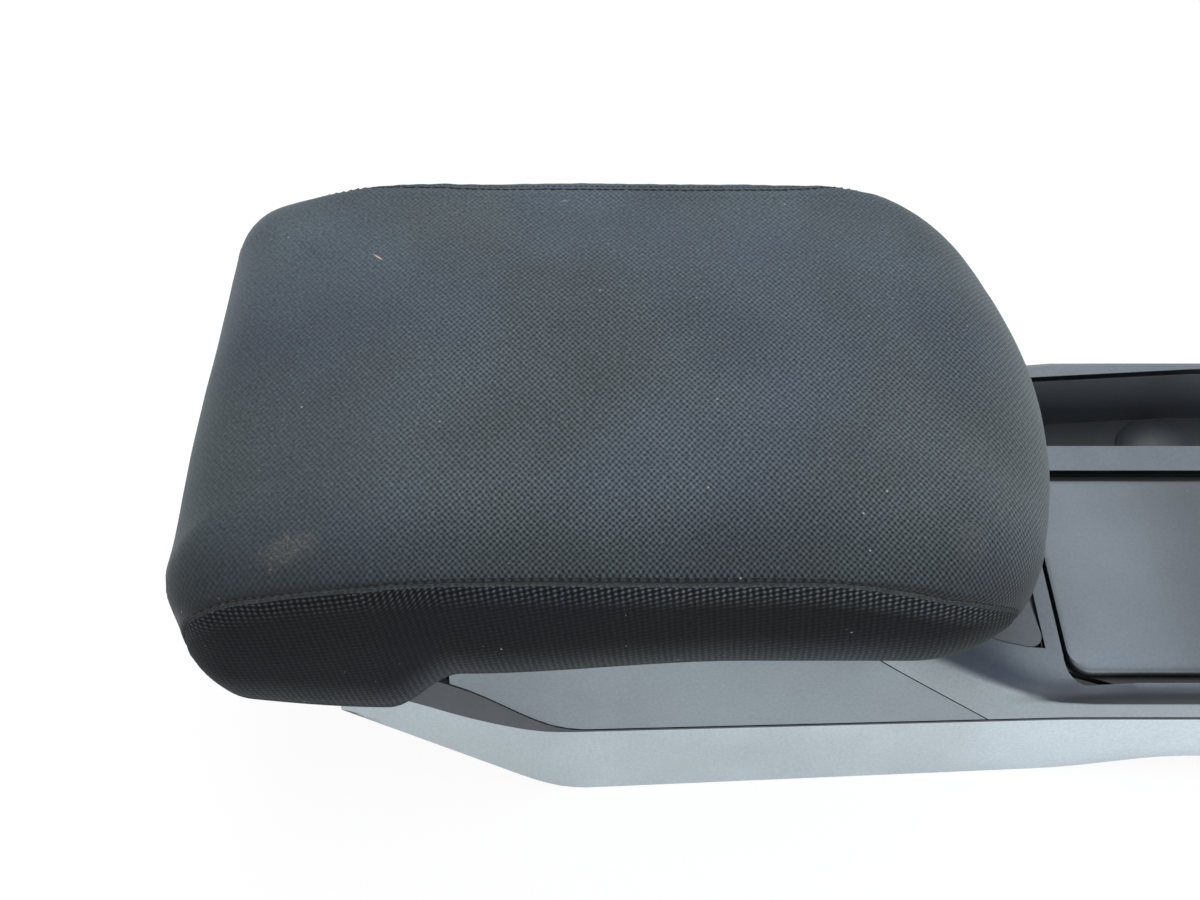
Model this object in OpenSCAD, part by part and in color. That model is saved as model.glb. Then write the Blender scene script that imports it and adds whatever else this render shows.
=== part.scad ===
// Tunnel console of a passenger car: armrest bin at the rear, a covered pair
// of cup wells and a handbrake well ahead of it, and sills along both sides.
// +X points forward, +Y to the driver's side, +Z up. Every place along the
// console is a distance from its rear end, which from_rear() moves into place.

/* [Console] */
// Overall length
total_len = 600; // [590:5:660]
// Height of the deck round the cup wells
deck_z = 64; // [62:0.5:67]
// Half width of the console at deck level
deck_half_w = 84.7; // [84:0.1:88]
// Thickness of the moulded skins
skin_t = 2.5; // [2:0.1:2.8]
// Height of the joint between sills and upper trims
groove_z = 41.5; // [38:0.5:44]
// Width of the visible joints between trims
joint_gap = 0.8; // [0.4:0.1:1.2]
// How far the sides stand out at the joint line behind the armrest bin
joint_flare = 5.3; // [3:0.1:7]
// How far the sill feet stand out there
foot_flare = 8.8; // [6:0.1:11]
// Radius of the deck's shoulder
shoulder_r = 8.5; // [7:0.5:9]
// Extra shoulder radius where the deck climbs to the bin
ramp_shoulder_r = 15.5; // [8:1:17]
// Lift of the sill's lower edge along the front half
front_lift = 11; // [6:0.5:14]

/* [Armrest] */
// Length of the armrest
rest_len = 318; // [312:1:320]
// Half width of the armrest
rest_half_w = 96; // [95:0.5:104]
// Height of the cushion's top edge
rest_top_z = 152; // [149:0.5:158]
// Rise of the cushion's crown above that edge
crown = 5; // [2:0.5:8]
// Radius of the bowed front end
front_bow_r = 190; // [170:5:220]
// Radius of the front corners
front_corner_r = 52; // [46:1:56]
// Radius of the rear corners
rear_corner_r = 20; // [16:1:28]
// Roll of the cushion's top edge along the sides
side_roll_r = 10; // [7:0.5:14]
// Roll of the cushion's top edge along the front end
front_roll_r = 40; // [30:1:42]
// Roll of the cushion's top edge along the rear end
rear_roll_r = 31; // [24:1:36]
// Thickness of the cushion's side walls
pad_side_t = 10; // [8:0.5:12]
// Thickness of the cushion under its top edge
pad_top_t = 24; // [20:0.5:26]
// Height of the tail's underside
tail_z = 65; // [64:0.5:67]
// Rise from the tail to the armrest's lower edge
tail_rise = 25; // [23:0.5:27]
// Thickness of the armrest's moulded tray
tray_t = 2.5; // [2:0.1:3]
// Thickness of the board under the cushion
board_t = 3; // [2.5:0.1:4]

/* [Hinge and latch] */
// Hinge axis from the rear end
pin_s = 32; // [30:0.5:34]
// Height of the hinge axis
pin_z = 84; // [83:0.5:87]
// Radius of the hinge pin
pin_r = 4; // [3:0.1:5]
// Thickness of the hinge's steel plates
plate_t = 3; // [2:0.1:4]
// Running clearance round the pins
run_gap = 0.05; // [0.02:0.01:0.1]
// Half distance between the armrest's hinge lugs
lug_half_w = 43; // [40:0.5:45]
// From the latch pivot to the armrest's front end
lever_back = 56; // [54:0.5:62]
// Width of the latch lever
lever_w = 16; // [12:0.5:20]
// Radius of the striker bar
striker_r = 1.5; // [1.2:0.1:2]

/* [Storage bin] */
// Rear edge of the bin's mouth
bin_rear = 118; // [116:1:126]
// From the bin's mouth to the latch pivot
bin_back = 16; // [15:0.5:24]
// Half width of the bin's mouth
bin_half_w = 57; // [50:0.5:58]
// Height of the bin's floor
bin_floor_z = 12; // [10:0.5:20]
// Wall of the bin
bin_t = 2; // [1.6:0.1:2.4]
// Thickness of the bin's mat
mat_t = 1.8; // [1.2:0.1:3]

/* [Cup wells] */
// Rear edge of the lid
lid_rear = 326.7; // [325:0.1:330]
// Length of the lid to its hinge
lid_len = 190.8; // [188:0.1:194]
// Edge of the lid on the passenger's side
lid_low_y = -76.5; // [-77:0.1:-74]
// Width of the lid
lid_w = 91.7; // [89:0.1:93]
// Thickness of the lid
lid_t = 3.8; // [3:0.1:4.2]
// Running gap along the lid's long edges
lid_side_gap = 4; // [3.6:0.1:4.4]
// Gap at the lid's rear edge
lid_end_gap = 1.2; // [0.8:0.1:2]
// Radius of a cup well at its mouth
well_r = 38; // [35:0.5:39]
// Height of the wells' floor
well_floor_z = 10; // [8:0.5:20]
// Wall of the cup insert
insert_t = 2; // [1.6:0.1:2.4]
// Radius of the lid's hinge pin
lid_pin_r = 1.5; // [1.2:0.1:1.8]

/* [Handbrake well] */
// Rear end of the opening
brake_rear = 322; // [318:1:330]
// Deck ahead of the opening
brake_nose = 64; // [50:1:80]
// Edge of the opening next to the divider
brake_low_y = 32.3; // [32:0.1:36]
// Width of the opening at its rear end
brake_rear_w = 38; // [34:0.5:40]
// Width of the opening further forward
brake_front_w = 43.9; // [40:0.1:44]
// Height of the well's floor
brake_floor_z = 30; // [26:0.5:36]

/* [Fixings] */
// Half distance between the bolt holes of each bracket
bolt_half_y = 50; // [40:1:60]
// Radius of the brackets' bolt holes
bolt_hole_r = 4.25; // [3.25:0.25:5.25]
// Thickness of the brackets
bracket_t = 3; // [2:0.1:4]
// Radius of the small screws
screw_r = 2; // [1.5:0.1:2.5]

/* [Hidden] */
fine = 64;
coarse = 32;

// Clearances
seat_gap = 0.3;
side_play = 0.5;
lid_play = 1;

// Places that follow the armrest's front end
lever_s = rest_len - lever_back;
bin_front = lever_s - bin_back;

// Armrest outline
rear_bow_r = 1700;
rest_mid = rest_len / 2;
// Underside of the armrest
tail_curve = 75;
tail_lift = 14;
tail_end = 70;
tail_run = 29;
low_rise = 9;
low_rise_run = 100;
pad_ceiling = rest_top_z - pad_top_t;
board_top = pad_ceiling - seat_gap;
board_low = board_top - board_t;
tray_inset = pad_side_t + seat_gap;

// Body skin
rim_gap = 4;
ramp_rear = bin_front + 4;
ramp_front = lid_rear - 4.7;
taper_start = 140;
taper_end = 330;
stick_turn = 133;
stick_blend = 14;
stick_slope = 0.75;
stick_tip = 54;
stick_tuck = 3.5;
stick_start = 132;
stick_run = 54;
stick_rise = 26;
ledge_min = 0.4;
ledge_max = 7.2;
ledge_start = 145;
ledge_run = 50;
panel_rear = 94;
diag_top_s = bin_front - 5;
diag_top_z = 95;
diag_low_s = diag_top_s + 59;
lift_start = 325;
lift_end = 385;
flange_y = 66.6;
rim_front = ramp_front - 3;
shelf_t = 1.2;
rim_rear = 100;

// Storage bin
liner_gap = bin_t + seat_gap;
liner_rear = bin_rear - liner_gap - bin_t;
liner_top_z = tail_z + 15;
bin_low = [bin_rear, -bin_half_w];
bin_high = [bin_front, bin_half_w];

// Inner carrier
rail_y = deck_half_w - ledge_min - skin_t - seat_gap;
rail_t = 2.5;
rail_in_y = rail_y - rail_t;
rail_rear = 132;
rail_front = total_len - 12;
rail_low = 6;
rail_top = deck_z - 8;
// Where the rails dip under the wide shoulder of the ramp
rail_dip = [280, 340];
rail_dip_z = deck_z - 15;
box_y = 64;
box_rear = 92;
box_top = tail_z + 17;
box_rear_top = box_top - 8;
bridge_s = bin_front + 12;
front_wall_s = rail_front - rail_t;

// Brackets
rear_bracket_s = 140;
bracket_w = 26;
front_bracket_s = rail_front - 8 - bracket_w;
bracket_ear = 30;
bracket_y = rail_in_y - seat_gap;

// Hinge and latch
lug_r = 10;
arm_in_y = lug_half_w + plate_t + 2;
arm_base_z = [48, 72];
hinge_bolt_y = [-35, 35];
hinge_bolt_z = (arm_base_z[0] + arm_base_z[1]) / 2;
frame_low = board_low - plate_t;
lever_z = 112;
lever_pin_r = 2;
hook_low = 79;
arm_top_z = lever_z - 2;
hook_reach = 10;
striker_s = lever_s - hook_reach + 1;
striker_z = 85.6;
lever_lug_y = lever_w / 2 + side_play;
board_screw_s = [pin_s + 58, lever_s - 32];
board_screw_y = 28;
board_screw_at = [for (s = board_screw_s, y = [-board_screw_y, board_screw_y]) [s, y, 0]];
frame_end = lever_s + 20;

// Cup wells
lid_hinge_s = lid_rear + lid_len;
lid_top_z = deck_z + 0.3;
lid_under_z = lid_top_z - lid_t;
lid_high_y = lid_low_y + lid_w;
barrel_r = lid_t * 0.84;
barrel_z = lid_top_z - barrel_r;
open_rear = lid_rear - lid_end_gap;
open_front = lid_hinge_s + barrel_r + 0.8;
open_low_y = lid_low_y - lid_side_gap;
open_high_y = lid_high_y + lid_side_gap;
open_corner_r = 9;
deck_under_z = deck_z - skin_t;
plate_low_z = rail_top + seat_gap;
plate_top_z = lid_under_z - lid_play;
well_y = (lid_low_y + lid_high_y) / 2;
well_draft = 2.5;
well_s = [open_rear + 15 + well_r, open_rear + 26 + 3 * well_r];
latch_s = open_rear + 6;
latch_r = 2.5;

// Handbrake well
brake_t = 1.8;
brake_front = total_len - brake_nose;
brake_high_y = brake_low_y + brake_front_w;
brake_rear_r = 4;
brake_front_r = 12;
brake_flare_len = 92;
brake_ramp = 30;
dome_r = 18;
dome_h = 10;
brake_top_z = deck_under_z - 1;

// Helpers
function lerp(a, b, t) = a + (b - a) * t;
function clamp(t) = max(0, min(1, t));
function ease(t) = let (c = clamp(t)) c * c * (3 - 2 * c);
function steps(a, b, n) = [for (i = [0:n]) lerp(a, b, i / n)];
function flip(points) = [for (i = [len(points) - 1:-1:0]) points[i]];

// Height of the armrest's lower edge
function under_z(s) =
    tail_z + tail_lift * pow(max(0, 1 - s / tail_curve), 2)
    + tail_rise * ease((s - tail_end) / tail_run)
    + low_rise * ease((s - tail_end - tail_run) / low_rise_run);

// Height of the console's top along its length
function top_z(s) =
    lerp(under_z(s) - rim_gap, deck_z, ease((s - ramp_rear) / (ramp_front - ramp_rear)));
function shoulder(s) =
    shoulder_r + ramp_shoulder_r * ease((s - diag_top_s) / 45) * (1 - ease((s - 290) / 65));

// Half widths along the sills
function taper(s) = clamp((taper_end - s) / (taper_end - taper_start));
function groove_y(s) = deck_half_w + joint_flare * taper(s);
function foot_y(s) =
    deck_half_w + foot_flare * taper(s) - stick_tuck * clamp((stick_start - s) / (stick_start - stick_tip));
function ledge_w(s) = ledge_min + ledge_max * ease((ledge_start - s) / ledge_run);

// Edges of the sills in side view
function turn_up(d) =
    d <= -stick_blend ? 0 : d >= stick_blend ? stick_slope * d
    : stick_slope * pow(d + stick_blend, 2) / (4 * stick_blend);
function sill_low(s) =
    turn_up(stick_turn - s) + front_lift * ease((s - lift_start) / (lift_end - lift_start));
function sill_top(s) =
    min(groove_z + stick_rise * pow(max(0, (stick_start - s) / stick_run), 1.5), under_z(s) - rim_gap + 1);
function ledge_z(s) = min(sill_top(s) + 0.95 * ledge_w(s), under_z(s) - rim_gap + 1);

// Half width of the upper skin at a height
function skin_y(s, z) =
    lerp(groove_y(s), deck_half_w, clamp((z - ledge_z(s)) / (top_z(s) - ledge_z(s)))) - ledge_w(s);

// One side of the upper skin's section, from its lower edge over the shoulder
function skin_half(s, inset) =
    let (low = ledge_z(s) + joint_gap, top = top_z(s) - inset, r = shoulder(s) - inset)
    concat(
        [[skin_y(s, low) - inset, low]],
        [for (a = [0:18:90]) [skin_y(s, top - r) - inset - r * (1 - cos(a)), top - r * (1 - sin(a))]]
    );

// Outline of the handbrake opening, grown by a distance
function brake_corner(s, y, r, a) = [for (b = [a:15:a + 90]) [s + r * cos(b), y + r * sin(b)]];
function brake_plan(d) = concat(
    brake_corner(brake_rear + brake_rear_r, brake_low_y + brake_rear_r, brake_rear_r + d, 180),
    brake_corner(brake_front - brake_front_r, brake_low_y + brake_front_r, brake_front_r + d, 270),
    brake_corner(brake_front - brake_front_r, brake_high_y - brake_front_r, brake_front_r + d, 0),
    [[brake_rear + brake_flare_len, brake_high_y + d]],
    brake_corner(brake_rear + brake_rear_r, brake_low_y + brake_rear_w - brake_rear_r, brake_rear_r + d, 90)
);

// Outline of the armrest in plan, as places and outward directions
function arc(c, r, a, b, n) =
    [for (t = steps(a, b, n)) [c[0] + r * cos(t), c[1] + r * sin(t), cos(t), sin(t)]];
front_mid = rest_len - front_bow_r;
front_y = rest_half_w - front_corner_r;
front_s = front_mid + sqrt(pow(front_bow_r - front_corner_r, 2) - front_y * front_y);
front_turn = atan2(front_y, front_s - front_mid);
rear_y = rest_half_w - rear_corner_r;
rear_s = rear_bow_r - sqrt(pow(rear_bow_r - rear_corner_r, 2) - rear_y * rear_y);
rear_turn = asin(rear_y / (rear_bow_r - rear_corner_r));
half_outline = concat(
    arc([front_mid, 0], front_bow_r, 0, front_turn, 4),
    [for (p = arc([front_s, front_y], front_corner_r, front_turn, 90, 6))
        if (p[3] > sin(front_turn) + 0.001) p],
    [for (s = steps(front_s, rear_s, 10)) if (s < front_s - 1 && s > rear_s + 1) [s, rest_half_w, 0, 1]],
    arc([rear_s, rear_y], rear_corner_r, 90, 180 - rear_turn, 6),
    [for (p = arc([rear_bow_r, 0], rear_bow_r, 180 - rear_turn, 180, 3)) if (p[3] < sin(rear_turn) - 0.001) p]
);
outline = concat(
    half_outline,
    [for (i = [len(half_outline) - 2:-1:1]) let (p = half_outline[i]) [p[0], -p[1], p[2], -p[3]]]
);
function moved_in(p, d) = [p[0] - d * p[2], p[1] - d * p[3]];
function plan(d) = [for (p = outline) moved_in(p, d)];

// Shapes
module from_rear() {
    translate([-total_len / 2, 0, 0]) children();
}

// Triangles across a ring of n points, each point joined to the one as far from the ring's end
function cap(n) = [for (i = [0:floor(n / 2) - 1], j = [n - 1 - i])
    each concat(i + 1 < j ? [[i, i + 1, j]] : [], i + 1 < j - 1 ? [[i + 1, j - 1, j]] : [])];

// A closed solid through rings with equal numbers of points
module loft(rings) {
    n = len(rings[0]);
    m = len(rings);
    points = [for (ring = rings) each ring];
    sides = [for (k = [0:m - 2]) for (i = [0:n - 1])
        let (a = k * n + i, b = k * n + (i + 1) % n) each [[a, a + n, b + n], [a, b + n, b]]];
    last = (m - 1) * n;
    polyhedron(points, concat(cap(n), sides, [for (f = cap(n)) [last + f[2], last + f[1], last + f[0]]]));
}

// A side view, drawn as distance and height, given a width about the middle
module side_prism(points, half_y) {
    rotate([90, 0, 0]) linear_extrude(2 * half_y, center = true) polygon(points);
}

// A plate seen from the side, from y to y + t
module side_plate(points, y, t) {
    translate([0, y + t, 0]) rotate([90, 0, 0]) linear_extrude(t) polygon(points);
}

module rounded_rect(low, high, r) {
    x = [low[0] + r, high[0] - r];
    y = [low[1] + r, high[1] - r];
    polygon([for (q = [[1, 1, 0], [0, 1, 90], [0, 0, 180], [1, 0, 270]])
        for (a = [0:15:90]) [x[q[0]] + r * cos(q[2] + a), y[q[1]] + r * sin(q[2] + a)]]);
}

module rounded_block(low, high, r) {
    translate([0, 0, low[2]]) linear_extrude(high[2] - low[2]) rounded_rect(low, high, r);
}

module block(low, high) {
    translate(low) cube(high - low);
}

module rod_y(s, z, r, low_y, high_y) {
    translate([s, high_y, z]) rotate([90, 0, 0]) cylinder(r = r, h = high_y - low_y, $fn = fine);
}

// A coil of round wire about the Z axis, from z = 0 up
module coil(r, wire, turns, height) {
    per_turn = 12;
    count = turns * per_turn;
    rings = [for (i = [0:count]) let (a = 360 * i / per_turn)
        [for (b = [0:60:300]) let (q = r + wire / 2 * cos(b))
            [q * cos(a), q * sin(a), wire / 2 + (height - wire) * i / count + wire / 2 * sin(b)]]];
    loft([for (ring = rings) flip(ring)]);
}

module screw(length, head_r) {
    cylinder(r = screw_r, h = length, $fn = fine);
    difference() {
        translate([0, 0, length]) cylinder(r = head_r, h = screw_r, $fn = fine);
        translate([0, 0, length + screw_r / 2]) cylinder(r = head_r / 2, h = screw_r, $fn = 6);
    }
}

// The region under the armrest's lower edge, raised by a distance
function under_points(lift, high_z) = concat(
    [for (s = steps(0, tail_end, 8)) [s, under_z(s) + lift]],
    [for (s = steps(tail_end, tail_end + tail_run, 6)) if (s > tail_end) [s, under_z(s) + lift]],
    [for (s = steps(tail_end + tail_run, rest_len, 9)) if (s > tail_end + tail_run) [s, under_z(s) + lift]],
    [[rest_len, high_z], [0, high_z]]
);

// Console skins
function half_ring(s) =
    let (outer = concat(skin_half(s, 0), [[flange_y, top_z(s)]]))
    let (inner = concat(skin_half(s, skin_t), [[flange_y, top_z(s) - skin_t]]))
    [for (p = concat(outer, flip(inner))) [s, p[0], p[1]]];
function both_sides(half) = concat(half, [for (p = flip(half)) [-p[0], p[1]]]);
function full_ring(s) =
    [for (p = concat(both_sides(skin_half(s, 0)), flip(both_sides(skin_half(s, skin_t))))) [s, p[0], p[1]]];

// The slanted joint between side panel and front trim, as the region ahead of it
module ahead_of_joint(shift) {
    slope = (diag_low_s - diag_top_s) / (diag_top_z - groove_z);
    side_prism([
        [diag_top_s + shift - 40 * slope, diag_top_z + 40], [diag_low_s + shift + 10 * slope, groove_z - 10],
        [total_len + 10, groove_z - 10], [total_len + 10, diag_top_z + 40]
    ], rest_half_w);
}

module front_trim() {
    stations = concat(steps(diag_top_s - 5, 338, 12), [352, 380, 450, 525, total_len]);
    from_rear() color("#4a4f55") difference() {
        intersection() {
            loft([for (s = stations) full_ring(s)]);
            ahead_of_joint(joint_gap / 2);
        }
        block([0, -flange_y, 0], [rim_front + seat_gap, flange_y, 200]);
        rounded_block([open_rear, open_low_y, 0], [open_front, open_high_y, 100], open_corner_r);
        rounded_block([lid_hinge_s - 15, open_low_y, 0], [open_front, open_high_y, 100], 1);
        linear_extrude(100) polygon(brake_plan(0));
    }
}

module side_panel() {
    stations = concat(steps(panel_rear, 150, 9), [180, 215], steps(diag_top_s, diag_low_s + 2, 7));
    difference() {
        union() {
            loft([for (s = stations) half_ring(s)]);
            for (s = [160, 215, 270]) let (z = groove_z + 8)
                rod_y(s, z, 4, rail_y + seat_gap, skin_y(s, z) - skin_t / 2);
        }
        ahead_of_joint(-joint_gap / 2);
    }
}

module side_panel_left() {
    from_rear() color("#8a939a") side_panel();
}

module side_panel_right() {
    from_rear() color("#8a939a") mirror([0, 1, 0]) side_panel();
}

function sill_ring(s) =
    let (lo = sill_low(s), hi = sill_top(s), f = foot_y(s), g = groove_y(s), w = ledge_w(s), lz = ledge_z(s))
    let (mid = (lo + hi) / 2, bulge = (f + g) / 2 + 0.6, t = min(skin_t, (hi - lo) * 0.7))
    [for (p = [[f, lo], [bulge, mid], [g, hi], [g - w, lz], [g - w - skin_t, lz],
        [g - w - skin_t, lz - t], [g - skin_t, hi - t], [bulge - skin_t, mid], [f - skin_t, lo]])
        [s, p[0], p[1]]];

module sill() {
    stations = concat(
        [stick_tip, 62, 70, 78, 86, 94, 102, 110], steps(118, 150, 6), [180, 215, 250, 290],
        steps(lift_start, lift_end, 6), [450, total_len]
    );
    loft([for (s = stations) sill_ring(s)]);
    for (s = [165, 230, 290]) let (z = groove_z * 0.55)
        rod_y(s, z, 4, rail_y + seat_gap, lerp(foot_y(s), groove_y(s), 0.55) - skin_t / 2);
}

module sill_left() {
    from_rear() color("#a8b0b5") sill();
}

module sill_right() {
    from_rear() color("#a8b0b5") mirror([0, 1, 0]) sill();
}

// Sloping cover between the sills at the rear
module rear_cover() {
    stations = steps(stick_tip + 8, liner_rear - seat_gap, 5);
    from_rear() color("#3c4045")
        loft([for (s = stations)
            let (z = sill_low(s) + 1, w = foot_y(s) - skin_t - seat_gap - 0.4)
            [[s, w, z], [s, w, z + skin_t], [s, -w, z + skin_t], [s, -w, z]]]);
}

// Inner carrier: rails, rear box for the hinge and cross walls
module carrier() {
    box_low = [[box_rear, sill_low(box_rear) + 6], [stick_turn - 6, 9], [rail_rear + rail_t, 7]];
    from_rear() color("#2f3236") {
        for (side = [0, 1]) mirror([0, side, 0]) {
            difference() {
                side_plate([
                    [rail_rear, rail_low], [lift_start, rail_low], [lift_end, rail_low + front_lift],
                    [rail_front, rail_low + front_lift], [rail_front, rail_top],
                    [rail_dip[1] + 10, rail_top], [rail_dip[1], rail_dip_z],
                    [rail_dip[0], rail_dip_z], [rail_dip[0] - 10, rail_top], [rail_rear, rail_top]
                ], rail_in_y, rail_t);
                for (t = [0.16, 0.5, 0.66, 0.82])
                    rod_y(lerp(rail_rear, rail_front, t), groove_z - 8, 11, 0, rest_half_w);
                for (s = [rear_bracket_s, front_bracket_s])
                    rod_y(s + bracket_w / 2, bracket_t + bracket_ear - 7, screw_r + run_gap, 0, rest_half_w);
            }
            side_plate(concat(box_low, [[rail_rear + rail_t, box_top], [box_rear + 16, box_top],
                [box_rear, box_rear_top]]), box_y, rail_t);
            block([rail_rear, box_y + rail_t, rail_low], [rail_rear + rail_t, rail_in_y, rail_top]);
            block([bridge_s, box_y, rail_low], [bridge_s + rail_t, rail_in_y, rail_top]);
        }
        difference() {
            block([box_rear, -box_y, sill_low(box_rear) + 6], [box_rear + rail_t, box_y, box_rear_top]);
            for (y = hinge_bolt_y) translate([0, y, hinge_bolt_z]) rotate([0, 90, 0])
                cylinder(r = screw_r + run_gap, h = total_len, $fn = fine);
        }
        block([bridge_s, -box_y, rail_low], [bridge_s + rail_t, box_y, rail_top]);
        difference() {
            block([front_wall_s, -rail_in_y, rail_low + front_lift], [rail_front, rail_in_y, rail_top]);
            block([front_wall_s - 1, -45, 26], [rail_front + 1, 45, 48]);
        }
    }
}

module bracket(s) {
    difference() {
        union() {
            rounded_block([s, -bracket_y, 0], [s + bracket_w, bracket_y, bracket_t], 1);
            for (side = [0, 1]) mirror([0, side, 0])
                block([s + 1, bracket_y - bracket_t, 0],
                    [s + bracket_w - 1, bracket_y, bracket_t + bracket_ear]);
        }
        for (y = [-bolt_half_y, bolt_half_y])
            translate([s + bracket_w / 2, y, -1]) cylinder(r = bolt_hole_r, h = bracket_t + 2, $fn = fine);
        rod_y(s + bracket_w / 2, bracket_t + bracket_ear - 7, screw_r + run_gap, -rest_half_w, rest_half_w);
    }
}

module rear_bracket() {
    from_rear() color("#8c9196") bracket(rear_bracket_s);
}

module front_bracket() {
    from_rear() color("#8c9196") bracket(front_bracket_s);
}

module bracket_screws() {
    from_rear() color("#5c6064")
        for (s = [rear_bracket_s, front_bracket_s], side = [0, 1]) mirror([0, side, 0])
            translate([s + bracket_w / 2, rail_in_y + 2, bracket_t + bracket_ear - 7]) rotate([90, 0, 0])
                screw(2 + seat_gap + bracket_t, screw_r * 2);
}

// Storage bin
// Outline of the rim in plan, with a bowed front edge and small front corners
function rim_plan() =
    let (r = 6, bow = 4, w = flange_y - seat_gap, mid = rim_front - r)
    concat(
        [[rim_rear, w], [rim_rear, -w]],
        [for (a = [270:15:360]) [mid + r * cos(a), r - w + r * sin(a)]],
        [for (t = steps(-1, 1, 12)) [rim_front - bow * (1 - t * t), t * (w - r)]],
        [for (a = [0:15:90]) [mid + r * cos(a), w - r + r * sin(a)]]
    );

module bin_rim() {
    stations = concat(
        steps(rim_rear, tail_end + tail_run + 4, 3), [140, 180, 220], steps(diag_top_s, rim_front, 12)
    );
    collar_front = diag_top_s + 8;
    shelf_rear = rim_front - 19;
    shelf_step = rim_front - 7;
    shelf_front = rim_front + 3.6;
    shelf_top = skin_t + seat_gap;
    w = flange_y - seat_gap;
    from_rear() color("#5a6066") difference() {
        union() {
            intersection() {
                loft([for (s = stations) let (z = top_z(s))
                    [[s, w, z - skin_t], [s, w, z], [s, -w, z], [s, -w, z - skin_t]]]);
                linear_extrude(200) polygon(rim_plan());
            }
            intersection() {
                rounded_block([bin_low[0] - bin_t, bin_low[1] - bin_t, liner_top_z - 4],
                    [bin_high[0] + bin_t, bin_high[1] + bin_t, 200], 10);
                side_prism(concat([for (s = steps(rim_rear, collar_front, 8)) [s, top_z(s) - skin_t / 2]],
                    [[collar_front, 0], [rim_rear, 0]]), rest_half_w);
            }
            side_prism(concat(
                [for (s = steps(shelf_rear, shelf_step, 3)) [s, top_z(s) - skin_t / 2]],
                [for (s = steps(shelf_step + 1, shelf_front, 3)) [s, top_z(s) - shelf_top]],
                [for (s = steps(shelf_front, shelf_rear, 6)) [s, top_z(s) - shelf_top - shelf_t]]
            ), w - 8);
        }
        rounded_block([bin_low[0], bin_low[1], 0], [bin_high[0], bin_high[1], 200], 8);
        block([striker_s - 4, -lever_w / 2 - 2, 0], [lever_s + 9, lever_w / 2 + 2, 200]);
        block([rim_front, brake_low_y - brake_t - 2, 0], [brake_rear + 5, rest_half_w, 200]);
    }
}

module bin_liner() {
    g = liner_gap;
    from_rear() color("#2b2d30") difference() {
        union() {
            rounded_block([liner_rear, bin_low[1] - g - bin_t, bin_floor_z - bin_t],
                [bin_high[0] + g + bin_t, bin_high[1] + g + bin_t, liner_top_z], 12);
            rounded_block([liner_rear, bin_low[1] - g - 4, liner_top_z - bin_t],
                [bin_high[0] + g + bin_t, bin_high[1] + g + 4, liner_top_z], 12);
        }
        rounded_block([bin_low[0] - g, bin_low[1] - g, bin_floor_z],
            [bin_high[0] + g, bin_high[1] + g, 200], 10);
    }
}

module bin_mat() {
    from_rear() color("#1d1e20") difference() {
        rounded_block([bin_low[0], bin_low[1], bin_floor_z],
            [bin_high[0], bin_high[1], bin_floor_z + mat_t], 8);
        for (i = [1:9])
            block([bin_low[0] + 8, -bin_half_w + i * bin_half_w / 5 - 1, bin_floor_z + mat_t / 2],
                [bin_high[0] - 8, -bin_half_w + i * bin_half_w / 5 + 1, 200]);
    }
}

module bump_stops() {
    r = 3.5;
    from_rear() color("#161718")
        for (s = [bin_rear + 17, bin_front - 21], side = [0, 1]) mirror([0, side, 0])
            let (z = top_z(s + r) + 0.05)
            translate([s, (bin_half_w + flange_y) / 2, z])
                cylinder(r = r, h = under_z(s - r) - side_play - z, $fn = fine);
}

module striker() {
    end_y = lever_w / 2 + 5;
    post_r = 2.2;
    post_top = top_z(striker_s + post_r) - skin_t - seat_gap;
    from_rear() color("#9aa0a5") {
        rod_y(striker_s, striker_z, striker_r, -end_y, end_y);
        for (side = [0, 1]) mirror([0, side, 0]) translate([striker_s, end_y, striker_z - striker_r])
            cylinder(r = post_r, h = post_top - striker_z + striker_r, $fn = fine);
    }
}

// Cup wells
module cup_insert() {
    ear_w = lid_side_gap - side_play - seat_gap;
    ear_half = open_front - lid_hinge_s - seat_gap;
    lip_y = well_y - lid_w / 2 + 8;
    rim = 5;
    from_rear() color("#26282b") difference() {
        union() {
            translate([0, 0, plate_low_z]) linear_extrude(plate_top_z - plate_low_z) polygon([
                [open_rear - rim, open_high_y + rim], [open_rear - rim, lip_y - 3],
                [rail_dip[1] + 6, 1.5 - rail_y], [open_front + rim, 1.5 - rail_y],
                [open_front + rim, open_high_y + rim]
            ]);
            difference() {
                rounded_block([open_rear - insert_t, lip_y, plate_low_z],
                    [open_front + insert_t, open_high_y + insert_t, deck_under_z - seat_gap], 4);
                block([open_rear, -rest_half_w, 0], [open_front, open_high_y, 100]);
            }
            for (s = well_s) translate([s, well_y, well_floor_z - insert_t])
                cylinder(r1 = well_r - well_draft + insert_t, r2 = well_r + insert_t,
                    h = plate_low_z - well_floor_z + insert_t + 1, $fn = fine);
            for (y = [open_low_y + seat_gap, open_high_y - seat_gap - ear_w])
                block([lid_hinge_s - ear_half, y, plate_top_z - 1],
                    [lid_hinge_s + ear_half, y + ear_w, barrel_z + lid_pin_r + 1.2]);
        }
        for (s = well_s) translate([s, well_y, well_floor_z])
            cylinder(r1 = well_r - well_draft, r2 = well_r, h = plate_top_z - well_floor_z, $fn = fine);
        translate([latch_s, well_y, 0]) cylinder(r = latch_r + run_gap, h = 100, $fn = fine);
        rod_y(lid_hinge_s, barrel_z, barrel_r + side_play, lid_low_y - side_play, lid_high_y + side_play);
        rod_y(lid_hinge_s, barrel_z, lid_pin_r + run_gap, lid_low_y - 3, lid_high_y + 3);
    }
}

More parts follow.
